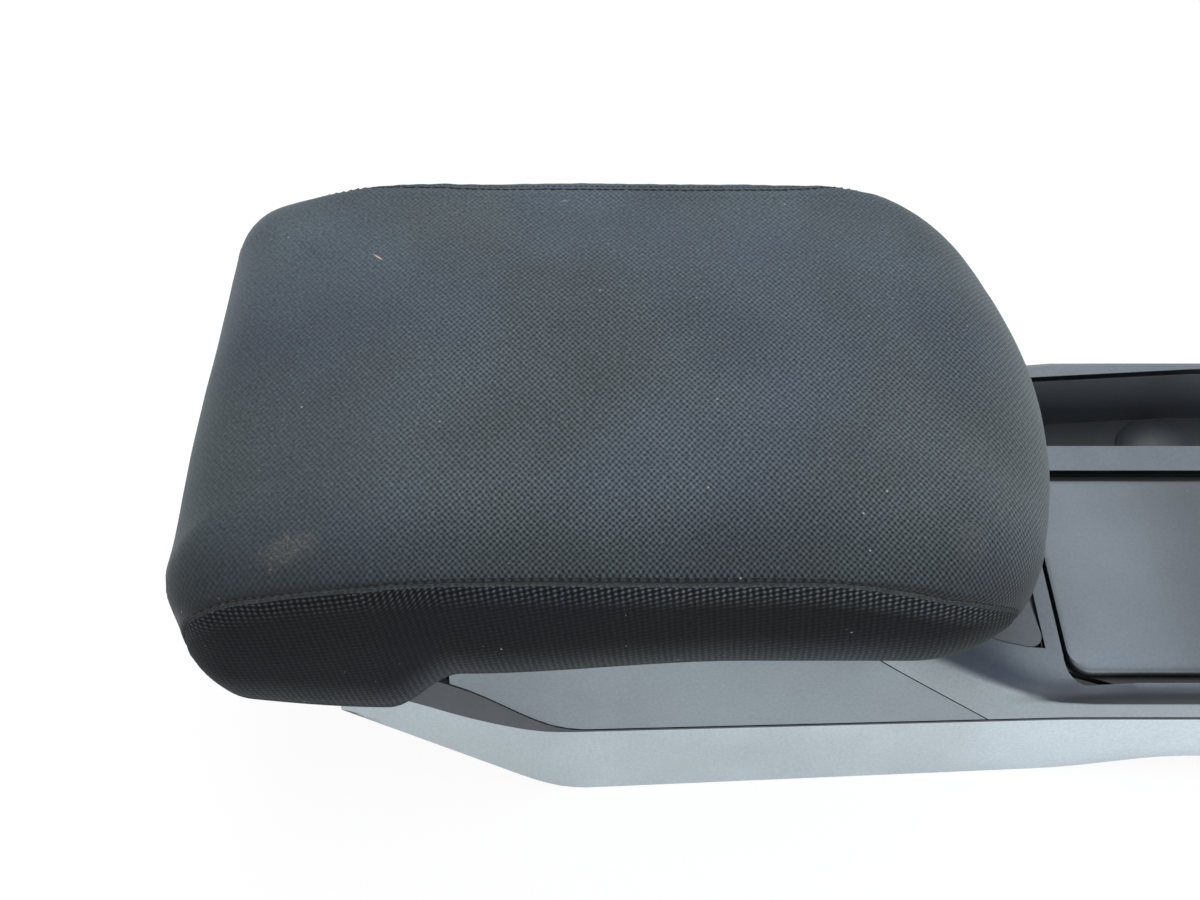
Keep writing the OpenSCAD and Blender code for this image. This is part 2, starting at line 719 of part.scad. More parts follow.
module cup_mats() {
    from_rear() color("#1d1e20") for (s = well_s) translate([s, well_y, well_floor_z]) difference() {
        cylinder(r = well_r - 3, h = mat_t, $fn = fine);
        for (r = [10:8:well_r - 8]) translate([0, 0, mat_t / 2]) difference() {
            cylinder(r = r + 1.5, h = mat_t, $fn = fine);
            translate([0, 0, -1]) cylinder(r = r - 1.5, h = mat_t + 2, $fn = fine);
        }
    }
}

// Points of the lid's plan: round rear corners, square front corners, inset all round but the front
function lid_plan(inset) =
    let (r = 9 - inset * 0.6, s0 = lid_rear + inset * 0.3, y0 = lid_low_y + inset, y1 = lid_high_y - inset)
    concat(
        [[lid_hinge_s, y1]],
        [for (a = [90:15:180]) [s0 + r + r * cos(a), y1 - r + r * sin(a)]],
        [for (a = [180:15:270]) [s0 + r + r * cos(a), y0 + r + r * sin(a)]],
        [[lid_hinge_s, y0]]
    );

module cup_lid() {
    edge = [[0, 0], [0, 0.3], [0.7, 0.62], [2.2, 0.86], [5, 0.96], [9, 1]];
    from_rear() color("#5f666e") difference() {
        union() {
            loft([for (e = edge) [for (p = lid_plan(e[0])) [p[0], p[1], lid_under_z + lid_t * e[1]]]]);
            rod_y(lid_hinge_s, barrel_z, barrel_r, lid_low_y, lid_high_y);
        }
        rod_y(lid_hinge_s, barrel_z, lid_pin_r + run_gap, lid_low_y - 1, lid_high_y + 1);
    }
}

module lid_pin() {
    from_rear() color("#b9bdc1") rod_y(lid_hinge_s, barrel_z, lid_pin_r, lid_low_y - 3, lid_high_y + 3);
}

module latch_housing() {
    h = 18;
    from_rear() color("#303338") difference() {
        block([open_rear + 1, well_y - 8, plate_low_z - h], [open_rear + 12, well_y + 8, plate_low_z]);
        translate([latch_s, well_y, plate_low_z - h + 2]) cylinder(r = latch_r + run_gap, h = h, $fn = fine);
    }
}

module latch_plunger() {
    from_rear() color("#d8d8d4") translate([latch_s, well_y, plate_low_z - 8])
        cylinder(r = latch_r, h = 8 + lid_under_z - seat_gap - plate_low_z, $fn = fine);
}

module plunger_spring() {
    from_rear() color("#b9bdc1")
        translate([latch_s, well_y, plate_low_z - 16]) coil(1.9, 0.5, 4, 8 - seat_gap);
}

// Handbrake well with a sloping rear end, a slot for the lever and a domed boss
module handbrake_well() {
    dome = [for (a = [0:10:90]) [dome_r * cos(a), dome_h * sin(a)]];
    from_rear() color("#26282b") difference() {
        union() {
            difference() {
                translate([0, 0, brake_floor_z - brake_t])
                    linear_extrude(brake_top_z - brake_floor_z + brake_t) polygon(brake_plan(brake_t));
                translate([0, 0, brake_floor_z]) linear_extrude(100) polygon(brake_plan(0));
            }
            side_plate([[brake_rear - brake_t / 2, brake_floor_z - brake_t / 2],
                [brake_rear + brake_ramp, brake_floor_z - brake_t / 2],
                [brake_rear + 2, brake_top_z - 1], [brake_rear - brake_t / 2, brake_top_z - 1]],
                brake_low_y - brake_t / 2, brake_rear_w + brake_t / 2);
            translate([brake_rear + 80, brake_low_y + 24, brake_floor_z - brake_t / 2])
                rotate_extrude($fn = fine) polygon(concat([[0, 0]], dome));
        }
        rounded_block([brake_rear + 112, brake_low_y + 12, 0], [brake_front - 18, brake_low_y + 32, 100], 9);
    }
}

// Armrest hinge
module hinge_bracket() {
    from_rear() color("#8c9196") difference() {
        union() {
            block([box_rear - plate_t, -arm_in_y - plate_t, arm_base_z[0]],
                [box_rear, arm_in_y + plate_t, arm_base_z[1]]);
            for (side = [0, 1]) mirror([0, side, 0]) {
                side_plate([[pin_s - 3, pin_z - lug_r + 1], [box_rear - 1, arm_base_z[0]],
                    [box_rear - 1, arm_base_z[1]], [pin_s + 3, pin_z + lug_r - 1]], arm_in_y, plate_t);
                rod_y(pin_s, pin_z, lug_r, arm_in_y, arm_in_y + plate_t);
            }
        }
        rod_y(pin_s, pin_z, pin_r + run_gap, -rest_half_w, rest_half_w);
        for (y = hinge_bolt_y) translate([0, y, hinge_bolt_z]) rotate([0, 90, 0])
            cylinder(r = screw_r + run_gap, h = total_len, $fn = fine);
    }
}

module hinge_pin() {
    end_y = arm_in_y + plate_t;
    from_rear() color("#b9bdc1") {
        rod_y(pin_s, pin_z, pin_r, -end_y - 2, end_y + 2);
        for (y = [-end_y - 2, end_y + seat_gap]) rod_y(pin_s, pin_z, pin_r + 2, y, y + 2 - seat_gap);
    }
}

module hinge_bolts() {
    from_rear() color("#5c6064") for (y = hinge_bolt_y)
        translate([box_rear + rail_t + 2, y, hinge_bolt_z]) rotate([0, -90, 0])
            screw(rail_t + 2 + plate_t, screw_r * 2);
}

module armrest_spring() {
    wire = 2.4;
    from_rear() color("#77797c") translate([pin_s, -16, pin_z]) rotate([-90, 0, 0])
        coil(pin_r + side_play + wire / 2, wire, 8, 32);
}

// Armrest
module armrest_frame() {
    w = lug_half_w + plate_t;
    from_rear() color("#7d8287") difference() {
        union() {
            rounded_block([pin_s - 16, -w, frame_low], [frame_end, w, board_low], 4);
            for (side = [0, 1]) mirror([0, side, 0]) {
                side_plate([[pin_s - lug_r, pin_z], [pin_s + lug_r, pin_z], [pin_s + 24, frame_low + 1],
                    [pin_s - 14, frame_low + 1]], lug_half_w, plate_t);
                rod_y(pin_s, pin_z, lug_r, lug_half_w, w);
                block([pin_s + 20, lug_half_w, frame_low - 8], [frame_end - 12, w, frame_low + 1]);
                side_plate([[lever_s - 5, lever_z], [lever_s + 5, lever_z], [lever_s + 9, frame_low + 1],
                    [lever_s - 9, frame_low + 1]], lever_lug_y, plate_t);
                rod_y(lever_s, lever_z, 5, lever_lug_y, lever_lug_y + plate_t);
            }
        }
        rod_y(pin_s, pin_z, pin_r + run_gap, -rest_half_w, rest_half_w);
        rod_y(lever_s, lever_z, lever_pin_r + run_gap, -rest_half_w, rest_half_w);
        for (p = board_screw_at) translate(p) cylinder(r = screw_r + run_gap, h = 300, $fn = fine);
        for (t = [0.3, 0.7]) translate([lerp(board_screw_s[0], board_screw_s[1], t), 0, 0])
            cylinder(r = 16, h = 300, $fn = fine);
    }
}

module armrest_board() {
    from_rear() color("#3a3330") difference() {
        translate([0, 0, board_low]) linear_extrude(board_t) polygon(plan(tray_inset));
        for (p = board_screw_at) translate(p) cylinder(r = screw_r + run_gap, h = 300, $fn = fine);
    }
}

module armrest_tray() {
    from_rear() color("#2a2c2f") difference() {
        intersection() {
            linear_extrude(board_low) polygon(plan(tray_inset));
            side_prism(under_points(0, board_low), rest_half_w);
        }
        intersection() {
            linear_extrude(board_low + 1) polygon(plan(tray_inset + tray_t));
            side_prism(under_points(tray_t, board_low + 2), rest_half_w);
        }
        block([tray_inset + tray_t, -62, 0], [tail_end + tail_run + 4, 62, 100]);
        block([striker_s - 4, -lever_w / 2 - 2, 0], [lever_s + 30, lever_w / 2 + 2, 110]);
    }
}

// Rings of the cushion, from its hollow's ceiling down, round its lower edge and up over the crown
function roll_r(p) = lerp(side_roll_r, p[2] > 0 ? front_roll_r : rear_roll_r, pow(abs(p[2]), 1.5));
function rolled(p, a) =
    let (r = roll_r(p), q = moved_in(p, r * (1 - cos(a)))) [q[0], q[1], rest_top_z - r * (1 - sin(a))];
function wall_point(p, inset, t) =
    let (q = moved_in(p, inset), low = under_z(q[0])) [q[0], q[1], lerp(low, rest_top_z - roll_r(p), t)];

module armrest_cushion() {
    hollow = [for (q = plan(pad_side_t)) [q[0], q[1], pad_ceiling]];
    hollow_low = [for (p = outline) wall_point(p, pad_side_t, 0)];
    walls = [for (w = [[4, 0], [1.2, 0.2], [0, 0.55]]) [for (p = outline) wall_point(p, w[0], w[1])]];
    rolls = [for (a = [0:18:90]) [for (p = outline) rolled(p, a)]];
    crowns = [for (k = [0.86, 0.66, 0.42, 0.16]) [for (p = outline) let (q = rolled(p, 90))
        [lerp(rest_mid, q[0], k), q[1] * k, rest_top_z + crown * (1 - k * k)]]];
    from_rear() color("#3c4144") loft(concat([hollow, hollow_low], walls, rolls, crowns));
}

module board_screws() {
    from_rear() color("#5c6064") for (p = board_screw_at)
        translate(p + [0, 0, board_top - 0.5]) rotate([180, 0, 0])
            screw(board_t - 0.5 + plate_t, screw_r * 2);
}

module latch_lever() {
    root = lever_s + 25;
    tip = rest_len - 10;
    nose = lever_s - hook_reach;
    paddle_z = tail_z + 23;
    from_rear() color("#34373b") difference() {
        union() {
            rod_y(lever_s, lever_z, 5, -lever_w / 2, lever_w / 2);
            side_prism([
                [lever_s - 4, lever_z], [lever_s - 4, hook_low + 6], [nose, hook_low + 4.5],
                [nose, hook_low + 3], [lever_s - 3, hook_low],
                [lever_s + 2, hook_low], [lever_s + 3, lever_z - 8],
                [root - 5, lever_z - 9], [root - 5, paddle_z + 3], [tip, paddle_z], [tip, paddle_z + 2.5],
                [root, paddle_z + 5.5], [root, arm_top_z], [lever_s, arm_top_z]
            ], lever_w / 2);
        }
        rod_y(lever_s, lever_z, lever_pin_r + run_gap, -rest_half_w, rest_half_w);
    }
}

module latch_pin() {
    end_y = lever_lug_y + plate_t;
    from_rear() color("#b9bdc1") rod_y(lever_s, lever_z, lever_pin_r, -end_y, end_y);
}

module latch_spring() {
    low = arm_top_z + seat_gap;
    height = frame_low - seat_gap - low;
    from_rear() color("#b9bdc1") translate([lever_s + 13, 0, low]) coil(3.5, 0.9, 4, height);
}

front_trim();
side_panel_left();
side_panel_right();
sill_left();
sill_right();
rear_cover();
carrier();
rear_bracket();
front_bracket();
bracket_screws();
bin_rim();
bin_liner();
bin_mat();
bump_stops();
striker();
cup_insert();
cup_mats();
cup_lid();
lid_pin();
latch_housing();
latch_plunger();
plunger_spring();
handbrake_well();
hinge_bracket();
hinge_pin();
hinge_bolts();
armrest_spring();
armrest_frame();
armrest_board();
armrest_tray();
armrest_cushion();
board_screws();
latch_lever();
latch_pin();
latch_spring();
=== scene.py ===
"""Tunnel console of a passenger car: cloth armrest, finishes, floor, lamps and camera."""

import bisect
import math

import bpy
from mathutils import Euler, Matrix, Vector, noise
from mathutils.kdtree import KDTree


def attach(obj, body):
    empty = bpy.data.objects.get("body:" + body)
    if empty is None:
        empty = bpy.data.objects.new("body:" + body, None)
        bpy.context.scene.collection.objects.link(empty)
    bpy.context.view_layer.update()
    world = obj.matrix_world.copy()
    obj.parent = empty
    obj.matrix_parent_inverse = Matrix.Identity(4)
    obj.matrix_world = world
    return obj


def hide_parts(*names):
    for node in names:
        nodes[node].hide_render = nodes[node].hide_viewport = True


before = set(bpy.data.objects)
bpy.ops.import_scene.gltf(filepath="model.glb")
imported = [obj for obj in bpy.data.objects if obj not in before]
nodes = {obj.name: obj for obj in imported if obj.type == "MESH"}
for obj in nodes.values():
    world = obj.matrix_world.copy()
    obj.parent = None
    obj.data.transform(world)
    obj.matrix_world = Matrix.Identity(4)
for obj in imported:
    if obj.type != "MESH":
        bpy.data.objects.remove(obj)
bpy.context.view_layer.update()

MM = 0.001

# Armrest, in millimetres, with s measured from the console's rear end
TOTAL_LEN = 600.0
REST_LEN = 318.0
REST_HALF_W = 96.0
REST_TOP_Z = 152.0
CROWN = 4.0
# Arch of the top edge, which comes up over one stretch and goes down over the other
TOP_ARCH = 3.0
ARCH_REAR = (20.0, 90.0)
ARCH_FRONT = (215.0, 295.0)
# Plan outline, and the rolled edge along it
OUTLINE_STEP = 0.5
FRONT_BOW_R = 190.0
FRONT_CORNER_R = 52.0
REAR_CORNER_R = 20.0
REAR_BOW_R = 1700.0
SIDE_ROLL_R = 4.0
FRONT_ROLL_R = 40.0
REAR_ROLL_R = 31.0
# Lengths along the outline, from the middle of either end, between which the rolled edge sharpens
FRONT_SHARPENS = (55.0, 145.0)
REAR_SHARPENS = (65.0, 150.0)
# Flat run of the cover inboard of its rolled edge
TOP_RUN = 8.0
# Lower edge: the tail hangs to TAIL_Z, curves up towards its rear end, and steps up ahead of TAIL_END
TAIL_Z = 65.0
TAIL_CURVE = 75.0
TAIL_LIFT = 14.0
TAIL_END = 72.0
TAIL_RUN = 29.0
TAIL_RISE = 25.0
LOW_RUN = 100.0
LOW_RISE = 9.0
# Hollow underside, and how the side walls tuck in below their belly
PAD_SIDE_T = 10.0
PAD_CEILING = 128.0
WALL_BELLY = 0.55
WALL_TUCK = 4.0
TUCK_POWER = 2.6
# Share by which relief below the belly points down
BELLY_TILT = 0.25

# Top-stitched seam of the armrest's cover
SEAM_Z = 152.2
SEAM_FRONT_START = 145.0
SEAM_REAR_START = 135.0
# How much further onto the top the far seam sits, because the cover is pulled towards the near side
FAR_SEAM_IN = 5.8
STITCH_PITCH = 3.1
STITCH_LEN = 2.1
STITCH_R = 0.32
STITCH_OFF = 1.8
# Lowest place of the seam above the lower edge, and the height above it over which the seam fades in
HEM = 3.0
HEM_FADE = 8.0
# Drops of the seam round its corners: height, length over which it comes, and how late it comes
FRONT_DROPS = ((40.0, 156.0, 6),)
REAR_DROPS = ((4.0, 90.0, 2.2), (23.5, 128.0, 12))
# A further, gentle drop, with the lengths past the ends of the straight side between which it comes
CORNER_DROP = 3.2
FRONT_DROP_AT = (75.0, 115.0)
REAR_DROP_AT = (30.0, 105.0)

# Distance from the middle at which the deck's skin starts, outside its openings
SKIN_FROM_Y = 79.0
# Stretch along the deck over which its shoulder gets sharper, from the middle of the console
SHOULDER_SHARPENS = (0.0, 35.0)
# Height at which the painted shade of the shoulder starts beside the lid
SHOULDER_FROM_Z = 52.8

# Distances at which the staggered yarn ends of the cloth repeat
WEAVE_ACROSS = 2.15
WEAVE_ALONG = 2.56
# Points round the cover
AROUND = 448


def lerp(a, b, t):
    return a + (b - a) * t


def ease(t):
    t = max(0.0, min(1.0, t))
    return t * t * (3 - 2 * t)


def bell(x, width):
    return math.exp(-((x / width) ** 2))


def risen(x, span):
    """Share of a span that x has passed, eased at both ends."""
    return ease((x - span[0]) / (span[1] - span[0]))


def edge_top(s):
    """Height of the top of the rolled edge, which arches up between the corners."""
    return REST_TOP_Z + TOP_ARCH * (risen(s, ARCH_REAR) - risen(s, ARCH_FRONT))


def under_z(s):
    """Height of the armrest's lower edge."""
    tail = TAIL_Z + TAIL_LIFT * max(0.0, 1 - s / TAIL_CURVE) ** 2
    step = TAIL_RISE * ease((s - TAIL_END) / TAIL_RUN)
    slope = LOW_RISE * ease((s - TAIL_END - TAIL_RUN) / LOW_RUN)
    return tail + step + slope


class Shader:
    """A material with short calls for the nodes used here.

    Scales of noise and cells are per metre on plastic and metal, and per millimetre on cloth.
    """

    def __init__(self, name, roughness=0.5, **sockets):
        self.material = bpy.data.materials.new(name)
        self.material.use_nodes = True
        self.tree = self.material.node_tree
        self.surface = self.tree.nodes["Principled BSDF"]
        self.surface.inputs["Roughness"].default_value = roughness
        for socket, value in sockets.items():
            self.surface.inputs[socket.replace("_", " ")].default_value = value

    def add(self, kind, **settings):
        made = self.tree.nodes.new("ShaderNode" + kind)
        for key, value in settings.items():
            setattr(made, key, value)
        return made

    def put(self, socket, value):
        """Links an output to a socket, or sets the socket to a number, vector or colour."""
        if isinstance(value, bpy.types.NodeSocket):
            self.tree.links.new(value, socket)
        elif socket.type == "VECTOR":
            socket.default_value = value[:3]
        elif socket.type == "RGBA":
            socket.default_value = (*value, 1.0)
        else:
            socket.default_value = value

    def math(self, operation, a, b=0.0, c=0.0):
        made = self.add("Math", operation=operation)
        for socket, value in zip(made.inputs, (a, b, c)):
            self.put(socket, value)
        return made.outputs[0]

    def times(self, a, b):
        return self.math("MULTIPLY", a, b)

    def between(self, a, b, share):
        """The value that lies share of the way from a to b."""
        return self.math("MULTIPLY_ADD", self.math("SUBTRACT", b, a), share, a)

    def fit(self, value, low, high, to_low=0.0, to_high=1.0):
        """value from low..high to to_low..to_high, smoothly and clamped."""
        made = self.add("MapRange", interpolation_type="SMOOTHSTEP")
        for socket, given in zip(made.inputs, (value, low, high, to_low, to_high)):
            self.put(socket, given)
        return made.outputs[0]

    def mix(self, factor, a, b, blend="MIX"):
        made = self.add("Mix", data_type="RGBA", blend_type=blend)
        self.put(made.inputs["Factor"], factor)
        self.put(made.inputs["A"], a)
        self.put(made.inputs["B"], b)
        return made.outputs["Result"]

    def scaled(self, colour, value):
        """colour times a grey value."""
        made = self.add("VectorMath", operation="SCALE")
        self.put(made.inputs[0], colour)
        self.put(made.inputs["Scale"], value)
        return made.outputs[0]

    def place(self, vector, scale, turn):
        """vector turned and scaled, with turn in radians."""
        made = self.add("Mapping")
        self.put(made.inputs["Vector"], vector)
        self.put(made.inputs["Scale"], scale)
        self.put(made.inputs["Rotation"], (0, 0, turn))
        return made.outputs[0]

    def noise(self, vector, scale, detail=2.0, rough=0.5):
        made = self.add("TexNoise")
        self.put(made.inputs["Vector"], vector)
        self.put(made.inputs["Scale"], scale)
        self.put(made.inputs["Detail"], detail)
        self.put(made.inputs["Roughness"], rough)
        return made.outputs[0]

    def uneven(self, vector, scale, detail, spread, rough=0.5, reach=0.2):
        """A grey value that wanders by spread round 1, following a noise as far as reach from its middle."""
        wander = self.noise(vector, scale, detail, rough)
        return self.fit(wander, 0.5 - reach, 0.5 + reach, 1 - spread, 1 + spread)

    def cells(self, vector, scale):
        made = self.add("TexVoronoi")
        self.put(made.inputs["Vector"], vector)
        self.put(made.inputs["Scale"], scale)
        return made.outputs["Distance"], made.outputs["Color"]

    def specks(self, vector, scale, size, share):
        """1 on small sparse dots, share being how many of the cells have one."""
        distance, tint = self.cells(vector, scale)
        chosen = self.math("LESS_THAN", self.split(tint)[0], share)
        return self.times(self.fit(distance, size * 0.6, size, 1.0, 0.0), chosen)

    def split(self, vector):
        made = self.add("SeparateXYZ")
        self.put(made.inputs[0], vector)
        return made.outputs

    def coords(self, name):
        return self.add("TexCoord").outputs[name]

    def uv(self, name="cloth_mm"):
        return self.add("UVMap", uv_map=name).outputs[0]

    def bump(self, height, depth, strength=1.0):
        made = self.add("Bump")
        self.put(made.inputs["Height"], height)
        made.inputs["Distance"].default_value = depth
        made.inputs["Strength"].default_value = strength
        return made.outputs[0]

    def finish(self, colour, roughness, normal):
        """The material, with roughness None where it is the same all over."""
        self.put(self.surface.inputs["Base Color"], colour)
        if roughness is not None:
            self.put(self.surface.inputs["Roughness"], roughness)
        self.put(self.surface.inputs["Normal"], normal)
        return self.material


def grey(value, warm=0.0, blue=0.0):
    """A grey, with a share more red or blue."""
    return (value * (1 + warm), value, value * (1 + blue))


# Slants at which a plastic's painted light and shade change, from 0 where its surface faces down to 1 where
# it faces up
UNDER_SLANT = 0.42
WALL_SLANTS = (0.5, 0.75)
SHOULDER_SLANTS = (0.81, 0.86)

# Deck beside the lid: slant of its walls, and how far its normal points up from its shoulder to its top,
# which set its painted light and shade
DECK_WALL_SLANT = 0.6
DECK_ROLL_UP = (0.5, 1.02)
# Share of its light that the foot of the shoulder loses, and how far its normal points up there
SHOULDER_SHADE = 0.75
SHOULDER_SHADE_UP = (0.4, 0.79)
# Width over which the deck's skin takes over from the painted shade on the walls of its openings
SKIN_FADE = 3.0
DECK_SHINE = 0.3

# Scuffs and dust on plastic, the scuffs as streaks stretched along the console
SCUFF_STREAKS = (60, 420, 420)
SCUFF_TURN = 0.3
SCUFF_STRENGTH = 0.16
SCUFF_COLOUR = grey(0.5, blue=0.05)
DUST_SHARE = 0.10
DUST_STRENGTH = 0.5
DUST_COLOUR = grey(0.6)


def plastic(
    name, side, shoulder, top, roughness=0.42, grain=0.55, grain_depth=0.03, worn=0.5,
    opening_shade=None, fade=None, top_fade=None,
):
    """Grained trim plastic with painted light and shade: its walls mostly lighter for a painted reflection of
    the bright floor, its shoulders and undersides darker for painted shade.

    side, shoulder and top are its colours, which carry that painted light and shade, grain and grain_depth
    the size of its grain in millimetres, and worn the share of its scuffs and dust. The colour of the walls
    of the deck's openings, given for the deck alone, is painted shade. The factor by which it gets lighter or
    darker along the console, and from where to where in metres, is painted light falling off, and the same
    can be given for its tops alone.
    """
    s = Shader(name, roughness)
    here = s.coords("Object")
    along, across, level = s.split(here)
    up = s.split(s.coords("Normal"))[2]
    slant = s.math("MULTIPLY_ADD", up, 0.5, 0.5)
    if opening_shade:
        ahead = s.fit(along, SHOULDER_SHARPENS[0] * MM, SHOULDER_SHARPENS[1] * MM)
        above = s.fit(level, (SHOULDER_FROM_Z - 1) * MM, (SHOULDER_FROM_Z + 1) * MM)
        rolled = s.fit(up, *DECK_ROLL_UP, SHOULDER_SLANTS[1], 1.0)
        slant = s.between(slant, s.between(DECK_WALL_SLANT, rolled, above), ahead)
    # Painted light and shade by slant: walls lighter for a painted reflection of the floor, shoulders and
    # undersides darker for painted shade
    ramp = s.add("ValToRGB")
    ramp.color_ramp.interpolation = "EASE"
    stops = ramp.color_ramp.elements
    stops[0].color = (*shoulder, 1)
    stops[1].color = (*top, 1)
    walls = [(place, side) for place in WALL_SLANTS]
    shoulders = [(place, shoulder) for place in (UNDER_SLANT, *SHOULDER_SLANTS)]
    for place, tint in walls + shoulders:
        stops.new(place).color = (*tint, 1)
    s.put(ramp.inputs[0], slant)
    colour = ramp.outputs[0]
    # Painted shade on the deck: near black walls in its openings, and a darker foot of its shoulder
    if opening_shade:
        outside = s.fit(s.math("ABSOLUTE", across), SKIN_FROM_Y * MM, (SKIN_FROM_Y + SKIN_FADE) * MM)
        colour = s.mix(s.math("MAXIMUM", outside, s.fit(up, 0.3, 0.5)), opening_shade, colour)
        shade = s.times(s.times(ahead, above), s.fit(up, *SHOULDER_SHADE_UP, SHOULDER_SHADE, 0.0))
        colour = s.scaled(colour, s.math("SUBTRACT", 1.0, shade))
        s.surface.inputs["Specular IOR Level"].default_value = DECK_SHINE
    clouds = s.uneven(here, scale=14, detail=4, spread=0.1)
    fine = s.uneven(here, scale=900, detail=3, spread=0.07, reach=0.25)
    colour = s.scaled(colour, s.times(clouds, fine))
    # Painted light, falling off along the console
    if fade:
        factor, start, end = fade
        colour = s.scaled(colour, s.fit(along, start, end, 1.0, factor))
    if top_fade:
        factor, start, end = top_fade
        top_fallen_off = s.scaled(colour, s.fit(along, start, end, 1.0, factor))
        colour = s.mix(s.fit(up, 0.5, 0.9), colour, top_fallen_off)
    streaks = s.noise(s.place(here, SCUFF_STREAKS, SCUFF_TURN), scale=1.0, detail=5, rough=0.7)
    colour = s.mix(s.fit(streaks, 0.66, 0.78, 0.0, SCUFF_STRENGTH * worn), colour, SCUFF_COLOUR)
    dust = s.specks(here, scale=130, size=0.06, share=DUST_SHARE * worn)
    colour = s.mix(s.times(dust, DUST_STRENGTH), colour, DUST_COLOUR)
    pits, _ = s.cells(here, 1000 / grain)
    swell = s.noise(here, 1000 / (grain * 3), detail=2)
    height = s.math("ADD", pits, s.times(swell, 0.7))
    gloss = s.fit(s.noise(here, scale=40, detail=4), 0.3, 0.7, roughness - 0.05, roughness + 0.07)
    return s.finish(colour, gloss, s.bump(height, grain_depth * MM, strength=0.6))


def metal(name, colour, roughness):
    """Metal with an uneven surface, as plated or drawn."""
    s = Shader(name, roughness, Metallic=1.0)
    here = s.coords("Object")
    shade = s.fit(s.noise(here, scale=260, detail=4), 0.3, 0.7, 0.82, 1.1)
    gloss = s.fit(s.noise(here, scale=600, detail=3), 0.3, 0.7, roughness - 0.08, roughness + 0.12)
    relief = s.bump(s.noise(here, scale=1500, detail=2), 0.01 * MM, strength=0.5)
    return s.finish(s.scaled(colour, shade), gloss, relief)


# Marks on the armrest's cloth, painted light on its front corner and roll among them: place in millimetres,
# radii, turn, raggedness, colour, strength
MARKS = (
    ((49, -83), (16, 10), 0.5, 1.3, grey(0.14, blue=-0.22), 0.42),
    ((49, -83), (13, 7), 0.5, 2.2, grey(0.42, warm=0.02, blue=-0.15), 0.20),
    ((272, -78), (9, 14), -0.35, 0.5, grey(0.145, blue=0.06), 0.60),
    # Painted light on the front corner
    ((284, -52), (18, 32), 0.2, 0.4, grey(0.16), 0.45),
    ((284, -88), (13, 8), -0.5, 0.3, grey(0.022), 0.45),
    # Painted light along the front roll
    ((320, -10), (44, 100), 0.0, 0.3, (0.170, 0.202, 0.183), 0.60),
    ((136, 82), (2.4, 0.7), 0.4, 0.0, grey(0.30), 0.5),
    ((93, 75), (2.6, 0.4), 0.2, 0.0, grey(0.26), 0.5),
    ((65.1, 50.7), (3.6, 0.55), -0.75, 0.0, (0.50, 0.25, 0.17), 0.9),
    ((65.6, 50.2), (3.2, 0.3), -0.75, 0.0, grey(0.75), 0.8),
)


def spot(s, uv, at, radii, turn, ragged):
    """1 in the middle of a patch of the cloth, fading to 0 at its rim."""
    made = s.add("Mapping", vector_type="TEXTURE")
    s.put(made.inputs["Vector"], uv)
    made.inputs["Location"].default_value = (*at, 0)
    made.inputs["Rotation"].default_value = (0, 0, turn)
    made.inputs["Scale"].default_value = (*radii, 1)
    length = s.add("VectorMath", operation="LENGTH")
    s.put(length.inputs[0], made.outputs[0])
    reach = length.outputs["Value"]
    if ragged:
        rough = s.noise(uv, scale=0.35, detail=4, rough=0.7)
        reach = s.math("ADD", reach, s.times(s.math("SUBTRACT", rough, 0.5), ragged))
    return s.fit(reach, 0.25, 1.0, 1.0, 0.0)


def marked(s, colour, uv):
    """colour with its marks on it, painted light on its front corner and roll among them."""
    flecks = s.fit(s.noise(uv, scale=0.9, detail=3, rough=0.7), 0.50, 0.68, 0.12, 1.0)
    for at, radii, turn, ragged, tint, strength in MARKS:
        there = s.times(spot(s, uv, at, radii, turn, ragged), strength)
        if ragged:
            there = s.times(there, flecks)
        colour = s.mix(there, colour, tint)
    return colour


# Painted shade on the top along the near seam: where it ends, and how much of its light it keeps
NEAR_SHADE_TO_Y = -58.0
NEAR_SHADE = 0.54
# The same painted shade at the rear end, on its near and on its far side
REAR_SHADES = (0.63, 0.97)
# The same painted shade right above the near seam, where the cover is pulled in
SEAM_SHADE = 0.82
SEAM_SHADE_OFF = (0.3, 4.0)
SEAM_SHADE_Y = (-60.0, -20.0)

# Stretches of the armrest, in metres from the console's middle, over which the look of its cloth changes
REAR_SHADE_Y = (-0.02, 0.07)
REAR_X = (-0.30, -0.17)
FAR_Y = (0.0, 0.085)
NEAR_Y = (-0.088, -0.045)
# Contrast of the top's weave at its rear end, far edge and near edge, against 1 in its middle
REAR_CONTRAST = 0.25
FAR_CONTRAST = 0.5
NEAR_CONTRAST = 1.3

# Lit strip of the side: distances from the seam over which it comes in, then for its rear and its front end
# from where to where it changes, in metres from the console's middle, and how bright it is there
LIT_STRIP = (-13.0, -3.0)
STRIP_REAR = (-0.25, -0.06, 0.35, 1.0)
STRIP_FRONT = (-0.05, 0.0, 1.0, 0.4)
# Distances from the seam over which the side's weave gets clear, and its contrast below them
CLEAR_STRIP = (-16.0, -3.0)
LOW_CONTRAST = 0.4
# Painted light from the floor on the side's lower edge: heights over which it fades out, how strong it is
# there, and its colour
FLOOR_LIGHT_RUN = (2.0, 26.0)
FLOOR_LIGHT_STRENGTH = 0.8
FLOOR_LIGHT_COLOUR = (0.052, 0.060, 0.066)

# How far the yarns wander, how dark the gaps between them are, and the tints between which the cloth drifts
YARN_WANDER = 1.1
GAP_SHADE = 0.76
COOL_TINT = (0.97, 0.99, 1.07)
WARM_TINT = (1.0, 1.02, 0.95)
SHEEN_TINT = (0.86, 0.95, 1.0)
# Dark dashes in the seam's crease: the thread's own dark with painted shade of the crease
THREAD_AND_SHADE_COLOUR = grey(0.006)
THREAD_AND_SHADE_STRENGTH = 0.93
# Lint and fluff on the cloth: cells per millimetre, size and share of the dots, their strength and colour
LINT = (
    (0.095, 0.045, 0.7, 0.8, grey(0.42, blue=-0.05)),
    (0.2, 0.06, 0.16, 0.5, grey(0.35)),
)
# Height of the weave's relief where its gaps are full, and height of any cloth's relief
WEAVE_DEPTH = 0.25
YARN_DEPTH = 0.05


